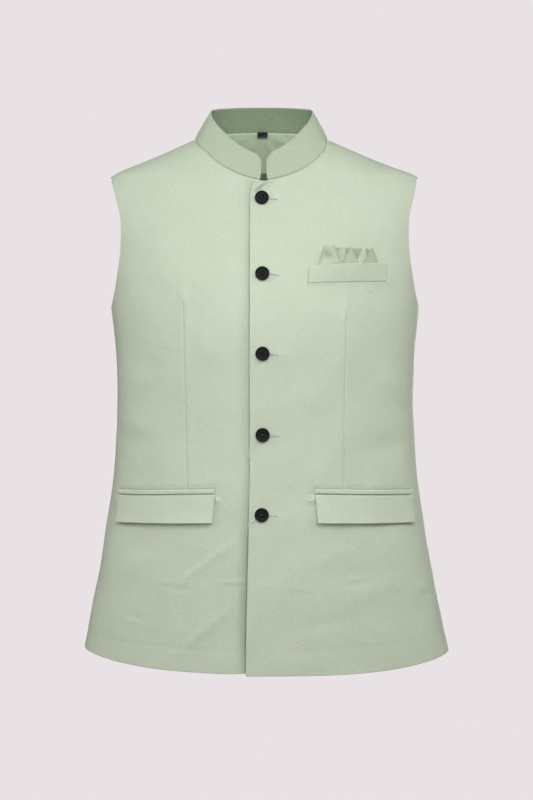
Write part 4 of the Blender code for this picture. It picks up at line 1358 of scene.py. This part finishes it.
for number, (x, height, sewing) in enumerate(buttonPlaces, start=1):
    makeButtonhole(number, x, height)

# x and height from the button's middle, how far it stands off the cloth
threadTails = {
    4: ((-0.0020, -0.0010, 0.0016), (-0.0070, -0.0050, 0.0018), (-0.0148, -0.0160, 0.0016),
        (-0.0182, -0.0243, 0.0022), (-0.0158, -0.0300, 0.0016)),
    5: ((-0.0020, -0.0010, 0.0016), (-0.0077, -0.0049, 0.0018), (-0.0165, -0.0118, 0.0016),
        (-0.0200, -0.0190, 0.0024), (-0.0184, -0.0254, 0.0018)),
}
tailRadius, tailSteps = 0.00048, 8
for number, tail in threadTails.items():
    x, height = buttonPlaces[number - 1][:2]
    corners = [onFront(x + dx, height + dz, off)[0] for dx, dz, off in tail]
    bm = bmesh.new()
    addTube(bm, smoothPath(corners, tailSteps), tailRadius)
    threadMesh(f"threadTail{number}", bm, "sageThread")
print("buttonholes made")

# stitched lines: length, gap and radius of a stitch
dartStitch = (0.0020, 0.0016, 0.00020)
collarStitch = (0.0017, 0.0015, 0.00032)
labelStitch = (0.0026, 0.0004, 0.00060)
dartRun = {"points": 90, "past": 0.001, "lift": 0.00005}
insideSeam = {"turn": 78, "points": 160, "below": 0.0010, "stand": 0.0011}
# bar tacks at the ends of the hip pockets: from x, height to x, height
tacks = ((0.0560, -0.4930, 0.0668, -0.4915), (0.1968, -0.4950, 0.2030, -0.4945),
         (-0.0578, -0.4932, -0.0650, -0.4915), (-0.1950, -0.4952, -0.2012, -0.4958))
tackRadius, tackLift = 0.00055, 0.0013


def stitchLine(name, points, stitch, skin, slot="sage_suiting"):
    length, gap, radius = stitch
    reach = pathReach(points)
    bm = bmesh.new()
    for start in np.arange(0, reach[-1] - length, length + gap):
        ends = alongPath(points, reach, (start, start + length))
        addStitch(bm, Vector(ends[0]), Vector(ends[1]), radius)
    return threadMesh(name, bm, skin, slot)


for side in sides:
    heights = np.linspace(darts[side][0][1], darts[side][-1][1] + dartRun["past"], dartRun["points"])
    angles = angleAt(dartX(side, heights), heights)
    lift = frontRelief(side, arcAt(angles, heights), heights) + dartRun["lift"]
    stitchLine("dartStitches" + side.title(), bodyPoints(angles, heights, lift), dartStitch, "slitShade")

bm = bmesh.new()
for x, height, toX, toHeight in tacks:
    side = "left" if x > 0 else "right"
    ends = [onFront(reach, rise, tackLift, side)[0] for reach, rise in ((x, height), (toX, toHeight))]
    addStitch(bm, *ends, tackRadius)
threadMesh("barTacks", bm, "sageThread")

# the seam that joins the collar's inside to the lining, seen across the back of the neck
behindLining = cloth["wall"] + cloth["liningWall"]
neckTurns = np.linspace(-insideSeam["turn"], insideSeam["turn"], insideSeam["points"])
neckRises = neckHeight(180 - np.abs(neckTurns)) - insideSeam["below"]
insideLift = np.full_like(neckTurns, -behindLining - insideSeam["stand"])
insidePath = bodyPoints(180 - neckTurns, neckRises, insideLift)
stitchLine("collarSeamStitches", insidePath, collarStitch, "sageThread")
print("stitches made")

# bare labels on the back lining: stand is how far the top and the foot lie off it
tab = {"size": (0.0150, 0.0062), "centre": -0.0036, "top": 0.0206, "wall": 0.0006, "stand": (0.0016, 0.0030)}
tabFold = dict(tab, top=0.0182, stand=(0.0006, 0.0012))          # the paler back layer shows below the tab
label = {"size": (0.0460, 0.0180), "centre": -0.0020, "top": -0.0352, "wall": 0.0005,
         "stand": (0.0002, 0.0004)}
flatPatch = {"columns": 30, "rows": 16, "crowd": (0.7, 0.7), "round": 0.0004, "edgeShare": 0.3,
             "clear": 0.0016, "cut": 2.2}
labelHem = {"half": 0.022, "points": 24, "stand": 0.0028}


def patchOnLining(name, shape, *materials):
    width, height = shape["size"]
    across, up = crowdedGrid(flatPatch, width, height)
    inside = fromEdges(across, up, width, height)
    heights = shape["top"] - height + up
    angles = 180 - angleAt(shape["centre"] + width / 2 - across, heights)
    top, foot = shape["stand"]
    middle = -behindLining - flatPatch["clear"] - mix(foot, top, up / height)
    middle = middle + backRelief(arcAt(angles, heights, True), heights)
    half = shape["wall"] / 2 * mix(flatPatch["edgeShare"], 1, roundedShare(inside, flatPatch["round"]))
    return laidSheet(name, angles, heights, middle, half, (across, up), *materials)


def makeSizeTab():
    # a tape folded double; its back layer, in a paler copy of the tape, is a painted highlight on the fold
    frontLayer, backLayer = patchOnLining("tabFront", tab), patchOnLining("tabBack", tabFold)
    for face in backLayer.data.polygons:
        face.material_index = 1
    piece = joinPieces("sizeTab", [frontLayer, backLayer], skins["blackTape"], skins["tapeFoldPaintedHighlight"])
    return place(piece, "black_tape", "size_tab")


sizeTab = makeSizeTab()
mainLabel = place(patchOnLining("mainLabel", label, skins["greyLabel"]), "grey_label", "main_label")
hemX = label["centre"] + np.linspace(-labelHem["half"], labelHem["half"], labelHem["points"])
hemTurns, hemHeights = 180 - angleAt(hemX, label["top"]), np.full_like(hemX, label["top"])
hemDepth = backRelief(arcAt(hemTurns, hemHeights, True), hemHeights) - behindLining - labelHem["stand"]
hemPath = bodyPoints(hemTurns, hemHeights, hemDepth)
stitchLine("labelStitches", hemPath, labelStitch, "sageThread", "grey_label")
print("labels made")

# what each cloth was cut to
allowance = {"panel": 0.010, "small": 0.004, "turned": 0.0005}


def cutSize(piece, edge, layers=1):
    # works out how large this cloth was cut, with its seam allowance; nothing is kept
    corners = np.array([tuple(loop.uv) for loop in piece.data.uv_layers["clothUV"].data])
    width, length = (float(side) for side in np.ptp(corners, axis=0))
    flat = (layers * width + 2 * allowance[edge], length + 2 * allowance[edge])
    area = layers / 2 * sum(face.area for face in piece.data.polygons)
    area = min(area + allowance[edge] * 2 * (width + length), flat[0] * flat[1])


for piece in (frontLeft, frontRight, backPanel):
    cutSize(piece, "panel")
cutSize(backLining, "panel")
cutSize(collarBand, "small")
cutSize(chestWelt, "turned")
cutSize(pocketSquare, "turned", 2)
for side, pieces in hipPieces.items():
    for piece in pieces:
        cutSize(piece, "turned")
cutSize(mainLabel, "turned")

# stage, light and camera
stage = {
    "floorHeight": -1.42, "floorRadius": 3.4, "floorSides": 96, "floorRoughness": 0.9,
    "floorColour": (0.800, 0.760, 0.775, 1.0),
    "backdrop": (0.815, 0.761, 0.783, 1.0),
    "fillStrength": 0.110,
    "floorSolid": 0.9, "floorFaded": 1.9,    # the floor melts into the backdrop between these radii
}
lights = {
    # place, what it looks at, width, height, power, spread in degrees
    "front": ((-0.15, -2.45, 0.35), (0.0, 0.0, -0.16), 1.8, 1.2, 4.2, 100.0),
    "frontHigh": ((0.42, -2.16, 1.26), (0.0, 0.0, -0.14), 1.3, 1.1, 9.9, 100.0),
    "near": ((-0.03, -0.75, -0.30), (0.0, 0.0, -0.33), 0.4, 0.4, 0.95, 180.0),
    "sideRight": ((-3.00, -1.50, 1.60), (0.0, 0.0, -0.30), 1.6, 2.0, 43.0, 180.0),
    "sideLeft": ((3.00, -1.50, 1.60), (0.0, 0.0, -0.30), 1.6, 2.0, 34.0, 180.0),
    "rimRight": ((-3.00, 0.50, 0.60), (0.0, 0.0, -0.30), 1.2, 1.8, 14.0, 180.0),
    "rimLeft": ((3.00, 0.50, 0.60), (0.0, 0.0, -0.30), 1.2, 1.8, 14.0, 180.0),
    "backLight": ((0.60, 2.80, -0.05), (0.0, 0.0, -0.35), 1.8, 1.2, 30.0, 180.0),
}
camera = {"place": (0.0020, -2.2250, -0.3610), "lens": 72.7, "sensor": 36.0}


def makeStage():
    bm = bmesh.new()
    bmesh.ops.create_circle(bm, cap_ends=True, segments=stage["floorSides"], radius=stage["floorRadius"],
                            matrix=Matrix.Translation((0, 0, stage["floorHeight"])))
    material, tree = newMaterial("paleFloor")
    shader, source = tree.nodes["Principled BSDF"], tree.nodes.new("ShaderNodeTexCoord")
    setInputs(tree, shader, {"Base Color": stage["floorColour"], "Roughness": stage["floorRoughness"]})
    distance = tree.nodes.new("ShaderNodeVectorMath")
    distance.operation = "LENGTH"
    setInputs(tree, distance, {0: scaled(tree, source.outputs["Object"], (1, 1, 0))})
    fade = tree.nodes.new("ShaderNodeMapRange")
    fade.interpolation_type = "SMOOTHSTEP"
    setInputs(tree, fade, {"Value": distance.outputs["Value"], "From Min": stage["floorSolid"],
                           "From Max": stage["floorFaded"]})
    clear = tree.nodes.new("ShaderNodeBsdfTransparent")
    blend = tree.nodes.new("ShaderNodeMixShader")
    setInputs(tree, blend, {"Fac": fade.outputs["Result"], 1: shader.outputs["BSDF"],
                            2: clear.outputs["BSDF"]})
    setInputs(tree, tree.nodes["Material Output"], {"Surface": blend.outputs["Shader"]})
    finishMesh("paleFloor", bm, material)


def makeWorld():
    # the camera sees the backdrop's colour, the jacket a soft white fill
    world = bpy.data.worlds.new("studio")
    world.use_nodes = True
    tree = world.node_tree
    seen, lit = tree.nodes["Background"], tree.nodes.new("ShaderNodeBackground")
    setInputs(tree, seen, {"Color": stage["backdrop"]})
    setInputs(tree, lit, {"Color": (1.0, 1.0, 1.0, 1.0), "Strength": stage["fillStrength"]})
    rays, choice = tree.nodes.new("ShaderNodeLightPath"), tree.nodes.new("ShaderNodeMixShader")
    setInputs(tree, choice, {"Fac": rays.outputs["Is Camera Ray"], 1: lit.outputs["Background"],
                             2: seen.outputs["Background"]})
    setInputs(tree, tree.nodes["World Output"], {"Surface": choice.outputs["Shader"]})
    scene.world = world


def makeLights():
    for name, (spot, target, width, height, power, spread) in lights.items():
        lamp = bpy.data.lights.new(name, "AREA")
        lamp.shape = "RECTANGLE"
        lamp.size, lamp.size_y, lamp.energy, lamp.spread = width, height, power, math.radians(spread)
        holder = bpy.data.objects.new(name, lamp)
        holder.location = spot
        holder.rotation_euler = (Vector(target) - Vector(spot)).to_track_quat("-Z", "Y").to_euler()
        holder.visible_camera = False
        scene.collection.objects.link(holder)


def makeCamera():
    lens = bpy.data.cameras.new("camera")
    lens.lens = camera["lens"]
    lens.sensor_width = camera["sensor"]
    holder = bpy.data.objects.new("camera", lens)
    holder.location = camera["place"]
    holder.rotation_euler = (math.radians(90), 0, 0)
    scene.collection.objects.link(holder)
    scene.camera = holder


makeStage()
makeWorld()
makeLights()
makeCamera()
scene.view_settings.view_transform = "Standard"
print("stage made")
